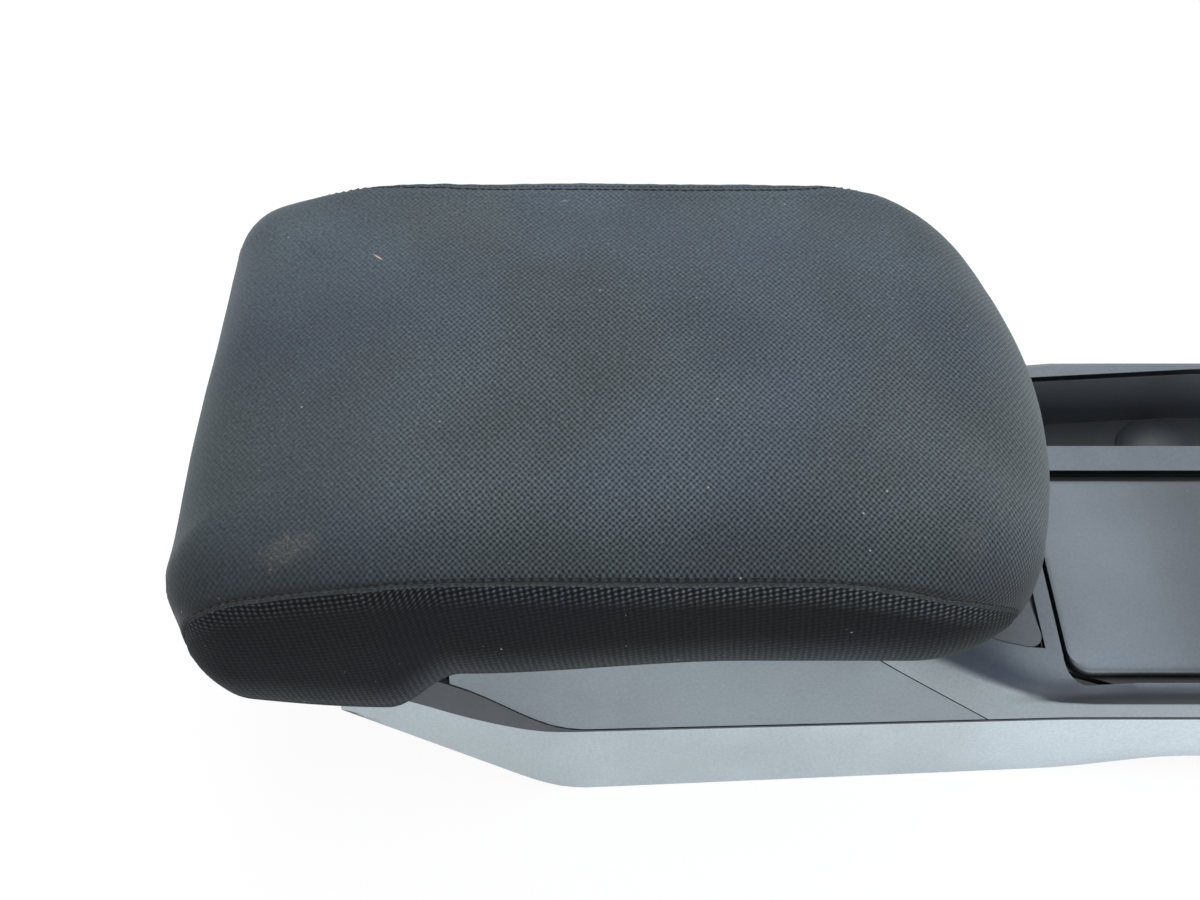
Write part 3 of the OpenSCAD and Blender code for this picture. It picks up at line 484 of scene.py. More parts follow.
def yarn_ends(s, uv, turn, coarse):
    """Staggered yarn ends of a flat weave: 1 on their crests and -1 in the gaps between them."""
    wander = s.add("TexNoise")
    s.put(wander.inputs["Vector"], uv)
    wander.inputs["Scale"].default_value = 0.32
    wander.inputs["Detail"].default_value = 3
    bent = s.add("VectorMath", operation="ADD")
    s.put(bent.inputs[0], uv)
    s.put(bent.inputs[1], s.scaled(wander.outputs["Color"], YARN_WANDER))
    lie = s.split(s.place(bent.outputs[0], (1 / coarse, 1 / coarse, 1), turn))
    across = s.math("COSINE", s.times(lie[0], math.tau / WEAVE_ACROSS))
    along = s.math("COSINE", s.times(lie[1], math.tau / WEAVE_ALONG))
    return s.times(across, along)


def thread_row(s, along_seam, past_seam):
    """1 on the dashes that the threads make in the crease of the seam."""
    beat = s.math("COSINE", s.times(along_seam, math.tau / STITCH_PITCH))
    off = s.math("ABSOLUTE", s.math("SUBTRACT", past_seam, STITCH_OFF))
    return s.times(s.fit(beat, -0.4, 0.1), s.fit(off, 0.5, 0.9, 1.0, 0.0))


def shaded_top(s, colour, uv, x, y, past_seam):
    """The top's colour with painted shade along the near seam, at the rear end, and right above the near seam
    where the cover is pulled in.
    """
    across = s.split(uv)[1]
    colour = s.scaled(colour, s.fit(across, -REST_HALF_W, NEAR_SHADE_TO_Y, NEAR_SHADE, 1.0))
    rear_shade = s.fit(y, *REAR_SHADE_Y, *REAR_SHADES)
    colour = s.scaled(colour, s.fit(x, *REAR_X, rear_shade, 1.0))
    by_seam = s.fit(across, *SEAM_SHADE_Y, SEAM_SHADE, 1.0)
    return s.scaled(colour, s.fit(past_seam, *SEAM_SHADE_OFF, by_seam, 1.0))


def cloth(
    name, lit, shaded, sheen=0.1, shine=0.25, holes=1.0, crests=0.4, turn=0.0, coarse=1.0, on_top=False
):
    """Flat-woven car cloth: staggered yarn ends with dark gaps between them.

    lit is its colour where it faces up and shaded its colour on the walls, copies that paint its light and
    shade, holes and crests how strongly the gaps and the yarn ends show, turn the angle of the weave and
    coarse its size.
    The cloth not on_top also has a painted lit strip below its seam and painted light from the floor along
    its lower edge. The cloth on_top also has painted shade along its near seam, at its rear end and right
    above the near seam, the dashes of the threads with painted shade in their crease, and its marks, painted
    light on its front corner and roll among them.
    """
    s = Shader(name, 0.85, Sheen_Weight=sheen, Sheen_Roughness=0.45, Specular_IOR_Level=shine)
    s.put(s.surface.inputs["Sheen Tint"], SHEEN_TINT)
    uv = s.uv()
    weave = yarn_ends(s, uv, turn, coarse)
    x, y, _ = s.split(s.coords("Object"))
    up = s.fit(s.split(s.coords("Normal"))[2], 0.05, 0.8)
    along_seam, past_seam, _ = s.split(s.uv("seam_mm"))
    if on_top:
        clear = s.times(s.fit(y, *FAR_Y, 1.0, FAR_CONTRAST), s.fit(x, *REAR_X, REAR_CONTRAST, 1.0))
        clear = s.times(clear, s.fit(y, *NEAR_Y, NEAR_CONTRAST, 1.0))
        colour = s.mix(up, shaded, lit)
    else:
        clear = s.fit(past_seam, *CLEAR_STRIP, LOW_CONTRAST, 1.0)
        strip = s.fit(past_seam, *LIT_STRIP, 0.0, s.times(s.fit(x, *STRIP_REAR), s.fit(x, *STRIP_FRONT)))
        colour = s.mix(s.math("MAXIMUM", up, strip), shaded, lit)
        colour = s.mix(s.fit(s.split(uv)[1], *FLOOR_LIGHT_RUN, FLOOR_LIGHT_STRENGTH, 0.0), colour, FLOOR_LIGHT_COLOUR)
    yarns = s.uneven(uv, scale=0.75, detail=3, spread=0.32, rough=0.6, reach=0.25)
    patches = s.uneven(uv, scale=0.016, detail=4, spread=0.13, rough=0.55)
    colour = s.scaled(colour, s.times(yarns, patches))
    crest = s.times(s.math("SUBTRACT", s.fit(weave, 0.0, 1.0), 0.4), clear)
    colour = s.scaled(colour, s.math("MULTIPLY_ADD", crest, crests, 1.04))
    gap = s.times(s.fit(weave, -0.95, -0.05, 1.0, 0.0), clear)
    colour = s.scaled(colour, s.math("MULTIPLY_ADD", gap, -GAP_SHADE * holes, 1.0))
    tint = s.mix(s.fit(s.noise(uv, scale=0.011, detail=3), 0.35, 0.65), COOL_TINT, WARM_TINT)
    colour = s.mix(1.0, colour, tint, "MULTIPLY")
    if on_top:
        colour = shaded_top(s, colour, uv, x, y, past_seam)
        dash = thread_row(s, along_seam, past_seam)
        colour = s.mix(s.times(dash, THREAD_AND_SHADE_STRENGTH), colour, THREAD_AND_SHADE_COLOUR)
        s.put(s.surface.inputs["Sheen Weight"], s.math("MULTIPLY_ADD", dash, -sheen, sheen))
        colour = marked(s, colour, uv)
    for scale, size, share, strength, tint in LINT:
        colour = s.mix(s.times(s.specks(uv, scale, size, share), strength), colour, tint)
    height = s.math("MULTIPLY_ADD", weave, 0.5, s.times(s.noise(uv, scale=1.6, detail=2), 0.6))
    depth = (WEAVE_DEPTH * holes + YARN_DEPTH) * MM
    return s.finish(colour, None, s.bump(s.times(height, clear), depth, strength=0.7))


def half_outline():
    """Points of the outline with their outward normals, (s, y, nx, ny), along the far half.

    They run from the middle of the front end to the middle of the rear end, with y positive.
    """
    front_centre = REST_LEN - FRONT_BOW_R
    corner_y = REST_HALF_W - FRONT_CORNER_R
    front_turn = math.asin(corner_y / (FRONT_BOW_R - FRONT_CORNER_R))
    corner_s = front_centre + (FRONT_BOW_R - FRONT_CORNER_R) * math.cos(front_turn)
    rear_y = REST_HALF_W - REAR_CORNER_R
    rear_turn = math.asin(rear_y / (REAR_BOW_R - REAR_CORNER_R))
    rear_s = REAR_BOW_R - (REAR_BOW_R - REAR_CORNER_R) * math.cos(rear_turn)
    points = []

    def arc(centre_s, centre_y, radius, start, end):
        count = max(2, round(abs(end - start) * radius / OUTLINE_STEP))
        for i in range(count):
            a = lerp(start, end, i / count)
            out = (math.cos(a), math.sin(a))
            points.append((centre_s + radius * out[0], centre_y + radius * out[1], *out))

    arc(front_centre, 0, FRONT_BOW_R, 0, front_turn)
    arc(corner_s, corner_y, FRONT_CORNER_R, front_turn, math.pi / 2)
    count = round((corner_s - rear_s) / OUTLINE_STEP)
    points.extend((lerp(corner_s, rear_s, i / count), REST_HALF_W, 0.0, 1.0) for i in range(count))
    arc(rear_s, rear_y, REAR_CORNER_R, math.pi / 2, math.pi - rear_turn)
    arc(REAR_BOW_R, 0, REAR_BOW_R, math.pi - rear_turn, math.pi)
    points.append((0.0, 0.0, -1.0, 0.0))
    return points


# Steps along the outline over which the inward direction is averaged
INWARD_STEPS = tuple(range(-40, 41, 5))


class Outline:
    """The armrest's plan outline, walked by length from the middle of its front end."""

    def __init__(self):
        self.points = half_outline()
        self.lengths = [0.0]
        for a, b in zip(self.points, self.points[1:]):
            self.lengths.append(self.lengths[-1] + math.hypot(b[0] - a[0], b[1] - a[1]))
        self.half = self.lengths[-1]
        self.front_mark = self.length_at(SEAM_FRONT_START)
        self.rear_mark = self.length_at(SEAM_REAR_START)

    def length_at(self, s):
        """Length at which the straight side passes s."""
        off = [abs(point[0] - s) + abs(point[1] - REST_HALF_W) for point in self.points]
        return self.lengths[off.index(min(off))]

    def walk(self, length):
        """(s, y, nx, ny) at a length, mirrored where it runs past the middle of either end."""
        if length < 0 or length > self.half:
            s, y, nx, ny = self.walk(-length if length < 0 else 2 * self.half - length)
            return s, -y, nx, -ny
        high = min(max(bisect.bisect_right(self.lengths, length), 1), len(self.lengths) - 1)
        low = high - 1
        t = (length - self.lengths[low]) / (self.lengths[high] - self.lengths[low])
        return tuple(lerp(a, b, t) for a, b in zip(self.points[low], self.points[high]))

    def at(self, fraction):
        """(s, y, nx, ny, inward direction, length along the half, side) at a fraction of the whole.

        The inward direction turns more slowly than the outline, so that insets never cross.
        """
        side = 1 if fraction < 0.5 else -1
        length = 2 * self.half * (fraction if side > 0 else 1 - fraction)
        s, y, nx, ny = self.walk(length)
        unit = math.hypot(nx, ny)
        around = [self.walk(length + step) for step in INWARD_STEPS]
        inward = Vector((-sum(p[2] for p in around), -side * sum(p[3] for p in around))).normalized()
        return s, side * y, nx / unit, side * ny / unit, inward, length, side

    def seam_z(self, length):
        """Height of the seam, which drops round all four corners."""
        to_front = max(0.0, self.front_mark - length)
        to_rear = max(0.0, length - self.rear_mark)
        drop = CORNER_DROP * (risen(to_front, FRONT_DROP_AT) + risen(to_rear, REAR_DROP_AT))
        for passed, drops in ((to_front, FRONT_DROPS), (to_rear, REAR_DROPS)):
            drop += sum(height * (passed / run) ** power for height, run, power in drops)
        return SEAM_Z - drop


class Profile:
    """The cover's section at one place of the outline, walked from its lower edge upwards."""

    def __init__(self, outline, fraction):
        self.s, self.y, self.nx, self.ny, self.inward, self.length, self.side = outline.at(fraction)
        to_rear = outline.half - self.length
        front = 1 - risen(self.length, FRONT_SHARPENS)
        rear = 1 - risen(to_rear, REAR_SHARPENS)
        self.roll = SIDE_ROLL_R + (FRONT_ROLL_R - SIDE_ROLL_R) * front + (REAR_ROLL_R - SIDE_ROLL_R) * rear
        self.low = under_z(self.s)
        self.top = edge_top(self.s)
        self.wall = self.top - self.roll - self.low
        self.roll_end = self.wall + self.roll * math.pi / 2
        self.end = self.roll_end + TOP_RUN
        self.around = self.side * self.length
        seam = outline.seam_z(self.length)
        self.seam_shows = ease((seam - self.low - HEM) / HEM_FADE)
        seam = max(seam, self.low + HEM)
        if seam <= self.top - self.roll:
            self.seam = seam - self.low
        else:
            self.seam = self.wall + self.roll * math.asin((seam - self.top + self.roll) / self.roll)
        self.far = (1 - front) * (1 - rear) if self.side > 0 else 0.0
        self.seam += FAR_SEAM_IN * self.far

    def point(self, v, lift=0.0):
        """Point at a length v up the section, lifted off it by lift."""
        if v < self.wall:
            belly = max(0.0, 1 - v / self.wall / WALL_BELLY)
            inset, z = WALL_TUCK * belly**TUCK_POWER, self.low + v
            out, rise = 1.0, -BELLY_TILT * belly
        else:
            a = min(math.pi / 2, (v - self.wall) / self.roll)
            inset = self.roll * (1 - math.cos(a)) + max(0.0, v - self.roll_end)
            z = self.top - self.roll * (1 - math.sin(a))
            out, rise = math.cos(a), math.sin(a)
        off = lift * out
        s = self.s + self.nx * off + self.inward.x * inset
        y = self.y + self.ny * off + self.inward.y * inset
        return Vector((s, y, z + lift * rise))

    def top_uv(self, v):
        """Place on the top panel as it was cut: the plan, with the rolled edge laid flat."""
        reach = self.roll_end - v - self.roll
        return self.s - self.inward.x * reach, self.y - self.inward.y * reach


# Relief of the cover beside its seam: height, distance above the stitch line, and width
PINCH = (-0.7, 0.0, 0.5)
FOLD = (0.34, -0.8, 0.5)
SWELLS = ((0.35, 5.0, 3.0), (0.3, -8.0, 4.0))
# Hollow round the seam, and the share of it and of the pinch that the far seam lacks
HOLLOW = 0.45
HOLLOW_REACH = 5.0
FAR_SEAM_EASE = 0.7
# Ripples that the stitches pull into the cover, and creases beside them
STITCH_PULL = 0.16
CREASE = 0.3


def ridge(form, d):
    height, at, width = form
    return height * bell(d - at, width)


def seam_lift(p, d):
    """How far the cover stands off its smooth form at a distance d above the stitch line."""
    hollow = (ridge(PINCH, d) - HOLLOW * math.exp(-abs(d) / HOLLOW_REACH)) * (1 - FAR_SEAM_EASE * p.far)
    swell = ridge(FOLD, d) + sum(ridge(form, d) for form in SWELLS)
    pulled = STITCH_PULL * math.sin(math.tau * p.around / STITCH_PITCH) * bell(d - STITCH_OFF, 1.0)
    crease = CREASE * noise.noise(Vector((p.around / 6, d / 16, 3))) * math.exp(-abs(d) / 8)
    return (hollow + swell + pulled + crease) * p.seam_shows


# Dents and creases of the padding: place, turn, length, width and height
DENTS = (
    (182, 12, 0.3, 30, 14, -1.1),
    (214, -8, 0.9, 16, 7, -0.6),
    (206, -22, 0.5, 26, 6, -0.5),
    (228, -10, 1.1, 14, 7, 0.4),
    (268, -86, 0.4, 9, 2.2, -0.7),
    (281, -70, 1.3, 10, 1.4, -0.8),
    (272, -78, 1.1, 8, 5.0, 0.6),
    (253, -62, 0.25, 22, 4.0, -0.5),
)
# Waves of the padding: height, and their sizes along, across and up
SLOW_WAVES = (0.9, 62.0, 48.0, 60.0)
QUICK_WAVES = (0.25, 19.0, 17.0, 20.0)


def waves(form, s, y, z, start=0.0):
    height, along, across, upwards = form
    return height * noise.noise(Vector((s / along, y / across, z / upwards + start)))


def rest_lift(s, y, z):
    """Gentle unevenness of the padding, and the dents of use."""
    dent = 0.0
    for at_s, at_y, turn, reach, width, depth in DENTS:
        along = (s - at_s) * math.cos(turn) + (y - at_y) * math.sin(turn)
        across = (y - at_y) * math.cos(turn) - (s - at_s) * math.sin(turn)
        dent += depth * bell(along, reach) * bell(across, width)
    return waves(SLOW_WAVES, s, y, z) + waves(QUICK_WAVES, s, y, z, start=7) + dent


# Distance from the seam that stands for no seam at all
FAR_OFF = 60.0
# Distances of the cover's rings from its seam, on the shown cover and on the coarse one for the simulation
NEAR_SEAM = (0.35, 0.7, 1.1, 1.5, 2.0, 2.6, 3.0, 3.6, 4.6, 6.0, 8.0, 10.5)
COARSE_SEAM = (3.0, 8.0)
# Room above or below the seam that those distances need: where there is less, they shrink with it
SEAM_ROOM = 16.0
# Height above the lower edge over which the unevenness of the padding comes in
LOW_FADE = 20.0
# How full the crown is, and the share of its rings' size from which it takes over the rolled edge's relief
CROWN_POWER = 1.25
CROWN_BLEND = (0.8, 1.0)
# Rings below the near seam that the folded edge covers, and past the far seam that the top's cloth covers
FOLD_RINGS = 2
FAR_HEM_RINGS = 10
# Places of the cloths among the cover's materials
TOP_CLOTH = 0
SIDE_CLOTH = 1
# The folded edge's faces get a lighter copy of the cloth: painted highlight
FOLD_CLOTH = 2


def cover_mesh(outline, around, wall_rings, roll_rings, crown_rings, detail=True):
    """The cushion's cover with its closed underside.

    Gives its vertices, faces, face materials and three sets of uvs: the place on the top's cloth, the
    place on the side's cloth, and the place along and above the seam.
    """
    profiles = [Profile(outline, (i + 0.5) / around) for i in range(around)]
    near_seam = NEAR_SEAM if detail else COARSE_SEAM
    last = near_seam[-1]
    rings = []

    def ring(make):
        rings.append([make(p) for p in profiles])

    def flat(inset, z=None):
        def make(p):
            at = (p.s - p.nx * inset, p.y - p.ny * inset)
            return Vector((*at, p.low if z is None else z)), at, (p.around, -inset), (p.around, -FAR_OFF)

        return make

    def section(v_of):
        def make(p):
            v = v_of(p)
            lift = 0.0
            if detail:
                lift = seam_lift(p, v - p.seam) + rest_lift(*p.point(v)) * ease(v / LOW_FADE)
            shown_off = lerp(FAR_OFF, v - p.seam, p.seam_shows)
            return p.point(v, lift), p.top_uv(v), (p.around, v), (p.around, shown_off)

        return make

    def below(p, d):
        return p.seam - d * min(1.0, p.seam / SEAM_ROOM)

    def above(p, d):
        return p.seam + d * min(1.0, (p.end - p.seam) / SEAM_ROOM)

    ring(flat(PAD_SIDE_T, PAD_CEILING))
    ring(flat(PAD_SIDE_T))
    ring(flat(lerp(PAD_SIDE_T, WALL_TUCK, 0.6)))
    for k in range(wall_rings):
        ring(section(lambda p, k=k: below(p, last) * k / wall_rings))
    for d in reversed(near_seam):
        ring(section(lambda p, d=d: below(p, d)))
    seam_ring = len(rings)
    ring(section(lambda p: p.seam))
    for d in near_seam:
        ring(section(lambda p, d=d: above(p, d)))
    for k in range(1, roll_rings + 1):
        ring(section(lambda p, k=k: lerp(above(p, last), p.end, k / roll_rings)))
    edge = rings[-1]
    mid = REST_LEN / 2
    for j in range(1, crown_rings):
        k = 1 - j / crown_rings
        made = []
        for start, _, side_uv, _ in edge:
            s, y = lerp(mid, start.x, k), start.y * k
            lift = rest_lift(s, y, REST_TOP_Z) if detail else 0.0
            z = edge_top(s) + CROWN * (1 - k * k) ** CROWN_POWER
            z += lerp(lift, start.z - edge_top(start.x), risen(k, CROWN_BLEND))
            made.append((Vector((s, y, z)), (s, y), side_uv, (side_uv[0], FAR_OFF)))
        rings.append(made)
    verts, top_uvs, side_uvs, seam_uvs = map(list, zip(*(corner for r in rings for corner in r)))
    faces, kinds = [], []
    for j in range(len(rings) - 1):
        for i, p in enumerate(profiles):
            k = (i + 1) % around
            faces.append((j * around + i, j * around + k, (j + 1) * around + k, (j + 1) * around + i))
            if j >= seam_ring - (FAR_HEM_RINGS if p.far > 0.02 else 0) or p.seam_shows <= 0:
                kinds.append(TOP_CLOTH)
            elif detail and j >= seam_ring - FOLD_RINGS:
                kinds.append(FOLD_CLOTH)
            else:
                kinds.append(SIDE_CLOTH)
    top = len(verts)
    lift = rest_lift(mid, 0, REST_TOP_Z) if detail else 0.0
    verts += [Vector((mid, 0, edge_top(mid) + CROWN + lift)), Vector((mid, 0, PAD_CEILING))]
    top_uvs += [(mid, 0), (mid, 0)]
    side_uvs += [(0, 0), (0, 0)]
    seam_uvs += [(0, FAR_OFF), (0, -FAR_OFF)]
    for i in range(around):
        k = (i + 1) % around
        faces.append(((len(rings) - 1) * around + i, (len(rings) - 1) * around + k, top))
        faces.append((k, i, top + 1))
        kinds += [TOP_CLOTH, SIDE_CLOTH]
    return verts, faces, kinds, top_uvs, side_uvs, seam_uvs


def to_model(v):
    return Vector(((v.x - TOTAL_LEN / 2) * MM, v.y * MM, v.z * MM))


def add_piece(name, verts, faces, body, slot, materials):
    mesh = bpy.data.meshes.new(name)
    mesh.from_pydata([to_model(v) for v in verts], [], faces)
    made = bpy.data.objects.new(name, mesh)
    bpy.context.scene.collection.objects.link(made)
    for m in materials:
        mesh.materials.append(m)
    mesh.shade_smooth()
    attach(made, body)
    return made


# The simulated cover is larger than life, runs for some frames, and is held at its seam and up to a height
SIM_SCALE = 10
SIM_FRAMES = 20
HELD_BESIDE_SEAM = 0.5
HELD_BELOW_Z = 100.0
CLOTH_SETTINGS = {
    "quality": 6, "mass": 0.3, "tension_stiffness": 30, "compression_stiffness": 30, "shear_stiffness": 12,
    "bending_stiffness": 2, "use_pressure": True, "uniform_pressure_force": 4, "vertex_group_mass": "held",
}
# The most that the padding may press the cover out, how often that is smoothed, and how far it spreads
PUFF_LIMIT = 1.0
PUFF_SMOOTHINGS = 6
PUFF_SPREAD = 7.0
PUFF_NEIGHBOURS = 16


def press_as_cloth(made):
    """Lets the padding's pressure blow the coarse cover up, and gives its vertices' places after that."""
    sim = made.modifiers.new("cloth", "CLOTH")
    for setting, value in CLOTH_SETTINGS.items():
        setattr(sim.settings, setting, value)
    sim.settings.effector_weights.gravity = 0
    sim.collision_settings.use_collision = False
    for number in range(1, SIM_FRAMES + 1):
        bpy.context.scene.frame_set(number)
    shaped = made.evaluated_get(bpy.context.evaluated_depsgraph_get()).to_mesh()
    return [vertex.co.copy() for vertex in shaped.vertices]


def swollen(outline):
    """Rest places and offsets of a coarse cover after its padding has pressed it out.

    The cover is held at its underside and along its seam, whose threads don't stretch.
    """
    verts, faces, _, _, _, seam_uvs = cover_mesh(
        outline, 128, wall_rings=3, roll_rings=5, crown_rings=16, detail=False
    )
    mesh = bpy.data.meshes.new("cover_simulated")
    mesh.from_pydata([to_model(v) * SIM_SCALE for v in verts], [], faces)
    made = bpy.data.objects.new("cover_simulated", mesh)
    bpy.context.scene.collection.objects.link(made)
    held = made.vertex_groups.new(name="held")
    sewn = {i for i, (_, off) in enumerate(seam_uvs) if abs(off) < HELD_BESIDE_SEAM}
    under = {i for i, v in enumerate(verts) if v.z < HELD_BELOW_Z or v.z == PAD_CEILING}
    held.add(sorted(sewn | under), 1.0, "REPLACE")
    rest = [v.co.copy() for v in mesh.vertices]
    offsets = []
    for start, end in zip(rest, press_as_cloth(made)):
        move = (end - start) / SIM_SCALE
        if move.length > PUFF_LIMIT * MM:
            move = move.normalized() * PUFF_LIMIT * MM
        offsets.append(move)
    beside = [[] for _ in rest]
    for a, b in (edge.vertices for edge in mesh.edges):
        beside[a].append(b)
        beside[b].append(a)
    for _ in range(PUFF_SMOOTHINGS):
        means = [sum((offsets[j] for j in others), Vector()) / len(others) for others in beside]
        offsets = [(own + mean) / 2 for own, mean in zip(offsets, means)]
    tree = KDTree(len(rest))
    for i, start in enumerate(rest):
        tree.insert(start / SIM_SCALE, i)
    tree.balance()
    bpy.data.objects.remove(made)
    bpy.context.scene.frame_set(1)
    return tree, offsets


def press_out(mesh, tree, offsets):
    """Moves a mesh as the simulated cover has moved beside it."""
    for vertex in mesh.vertices:
        near = tree.find_n(vertex.co, PUFF_NEIGHBOURS)
        weights = [bell(d, PUFF_SPREAD * MM) + 1e-6 for (_, _, d) in near]
        move = sum((offsets[i] * w for (_, i, _), w in zip(near, weights)), Vector())
        vertex.co += move / sum(weights)
    mesh.update()


# A thread's section along its length, from -1 to 1, and its thickness there
THREAD_SECTIONS = ((-1, 0.35), (-0.72, 1.0), (0.72, 1.0), (1, 0.35))
THREAD_SIDES = 6
# How deep a thread sinks into the cover, and its ends below that
STITCH_SINK = 0.08
STITCH_END_SINK = 0.3


def stitch_mesh(outline):
    """Small threads along both seams, sunk in their crease."""
    verts, faces = [], []
    total = 2 * outline.half
    reach = STITCH_LEN / 2
    sides = THREAD_SIDES
    for n in range(int(total / STITCH_PITCH)):
        middle = (n + 0.5) * STITCH_PITCH
        if Profile(outline, middle / total).seam_shows < 0.5:
            continue
        first = len(verts)
        for end, size in THREAD_SECTIONS:
            q = Profile(outline, (middle + end * reach) / total)
            sunk = STITCH_SINK + (STITCH_END_SINK if abs(end) == 1 else 0.0)
            lift = seam_lift(q, STITCH_OFF) + rest_lift(*q.point(q.seam)) - sunk
            centre = q.point(q.seam + STITCH_OFF, lift)
            up = (q.point(q.seam, 1.0) - q.point(q.seam)).normalized()
            ahead = Vector((-q.ny, q.nx, 0))
            across = up.cross(ahead).normalized()
            for k in range(sides):
                a = math.tau * k / sides
                verts.append(centre + (across * math.cos(a) + up * math.sin(a)) * STITCH_R * size)
        for j in range(len(THREAD_SECTIONS) - 1):
            for k in range(sides):
                a, b = first + j * sides + k, first + j * sides + (k + 1) % sides
                faces.append((a, b, b + sides, a + sides))
        last = first + (len(THREAD_SECTIONS) - 1) * sides
        faces.append(tuple(first + k for k in reversed(range(sides))))
        faces.append(tuple(last + k for k in range(sides)))
    return verts, faces


def build_cushion(materials, thread):
    outline = Outline()
    verts, faces, kinds, top_uvs, side_uvs, seam_uvs = cover_mesh(
        outline, AROUND, wall_rings=9, roll_rings=12, crown_rings=34
    )
    cushion = add_piece("armrest_cover", verts, faces, "armrest", "fabric", materials)
    mesh = cushion.data
    mesh.polygons.foreach_set("material_index", kinds)
    layer = mesh.uv_layers.new(name="cloth_mm")
    seam_layer = mesh.uv_layers.new(name="seam_mm")
    for polygon in mesh.polygons:
        source = side_uvs if polygon.material_index == SIDE_CLOTH else top_uvs
        for loop in polygon.loop_indices:
            corner = mesh.loops[loop].vertex_index
            layer.data[loop].uv = source[corner]
            seam_layer.data[loop].uv = seam_uvs[corner]
    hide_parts("armrest_cushion")
    threads = add_piece("armrest_stitching", *stitch_mesh(outline), "armrest", "fabric", [thread])
    tree, offsets = swollen(outline)
    press_out(mesh, tree, offsets)
    press_out(threads.data, tree, offsets)


# Lips beside the cup insert that close the gap between the deck's tongue and its frame
LIP_S = (312.0, 320.2)
LIP_Y = (50.0, 66.3)
LIP_Z = (57.0, 58.2)
LIP_CORNER_R = 2.5
LIP_EDGE = 0.3
CORNER_STEPS = 4


def rounded_plate(s_span, y_span, z_span, radius):
    """A flat plate with rounded corners."""
    ring = []
    y_low, y_high = sorted(y_span)
    corners = ((1, 1), (0, 1), (0, 0), (1, 0))
    for quarter, (front, far) in enumerate(corners):
        centre_s = lerp(s_span[0] + radius, s_span[1] - radius, front)
        centre_y = lerp(y_low + radius, y_high - radius, far)
        for k in range(CORNER_STEPS + 1):
            a = math.pi / 2 * (quarter + k / CORNER_STEPS)
            ring.append((centre_s + radius * math.cos(a), centre_y + radius * math.sin(a)))
    verts = [Vector((*p, z)) for z in z_span for p in ring]
    count = len(ring)
    faces = [(i, (i + 1) % count, count + (i + 1) % count, count + i) for i in range(count)]
    faces += [tuple(reversed(range(count))), tuple(range(count, 2 * count))]
    return verts, faces


def break_edges(part, width):
    """Rounds the edges of a piece, width in millimetres."""
    bevel = part.modifiers.new("broken_edges", "BEVEL")
    bevel.width = width * MM
    bevel.segments = 2
    return bevel


def build_lip(name, side_of_deck, material):
    verts, faces = rounded_plate(LIP_S, [side_of_deck * y for y in LIP_Y], LIP_Z, LIP_CORNER_R)
    lip = add_piece(name, verts, faces, "console", "liner", [material])
    break_edges(lip, LIP_EDGE)


# Distance within which a solid's corners are one, and the angle from which an edge is softened
WELD_WITHIN = 0.002
SOFTENED_FROM = math.radians(32)


def dress(part, finish, edge):
    """Gives a solid its finish and its soft edges."""
    mesh = part.data
    mesh.materials.clear()
    mesh.materials.append(finish)
    if "custom_normal" in mesh.attributes:
        mesh.attributes.remove(mesh.attributes["custom_normal"])
    mesh.shade_smooth()
    weld = part.modifiers.new("weld", "WELD")
    weld.merge_threshold = WELD_WITHIN * MM
    bevel = break_edges(part, edge)
    bevel.limit_method = "ANGLE"
    bevel.angle_limit = SOFTENED_FROM
    bevel.harden_normals = True


# Finishes; each plastic's side, shoulder and top colours carry its painted light and shade
# The deck's openings get near black walls: painted shade
deck = plastic(
    "deck_plastic", opening_shade=(0.005, 0.006, 0.009),
    side=(0.315, 0.362, 0.388), shoulder=(0.036, 0.050, 0.074), top=(0.168, 0.198, 0.234),
)
rim = plastic(
    "rim_plastic",
    side=(0.10, 0.12, 0.135), shoulder=(0.060, 0.070, 0.082), top=(0.10, 0.12, 0.14),
)
side = plastic(
    "side_plastic",
    side=(0.246, 0.291, 0.319), shoulder=(0.060, 0.070, 0.080), top=(0.13, 0.155, 0.18),
)
# The sill's walls are far lighter than its top: painted reflection of the bright floor on a dark plastic
sill = plastic(
    "sill_plastic", roughness=0.45, grain=0.6, worn=0.7,
    fade=(1.2, -0.1, 0.06), top_fade=(0.38, -0.225, -0.17),
    side=(0.50, 0.57, 0.605), shoulder=(0.062, 0.074, 0.090), top=(0.072, 0.090, 0.112),
)
# The lid's sides are near black: painted shade in the gap round it
lid = plastic(
    "lid_plastic", roughness=0.45, grain=1.0, grain_depth=0.06, worn=1.0, fade=(0.50, 0.04, 0.10),
    side=(0.006, 0.007, 0.010), shoulder=(0.10, 0.12, 0.14), top=(0.166, 0.201, 0.240),
)
hollow = plastic(
    "well_plastic", roughness=0.5, grain=0.7,
    side=(0.085, 0.096, 0.112), shoulder=(0.062, 0.070, 0.080), top=(0.044, 0.050, 0.058),
)
dark = plastic(
    "black_plastic", roughness=0.5, grain=0.8,
    side=(0.011, 0.012, 0.014), shoulder=(0.010, 0.011, 0.013), top=(0.013, 0.014, 0.017),
)
rubber = plastic(
    "rubber", roughness=0.75, grain=0.9, grain_depth=0.05,
    side=(0.016, 0.017, 0.018), shoulder=(0.015, 0.016, 0.017), top=(0.020, 0.021, 0.022),
)
board = plastic(
    "pressed_board", roughness=0.8, grain=1.4, grain_depth=0.06,
    side=(0.10, 0.075, 0.05), shoulder=(0.10, 0.075, 0.05), top=(0.12, 0.09, 0.06),
)
zinc = metal("zinc_steel", (0.42, 0.43, 0.44), 0.38)
steel = metal("bright_steel", (0.55, 0.56, 0.57), 0.28)
black_steel = metal("blackened_steel", (0.05, 0.05, 0.055), 0.45)

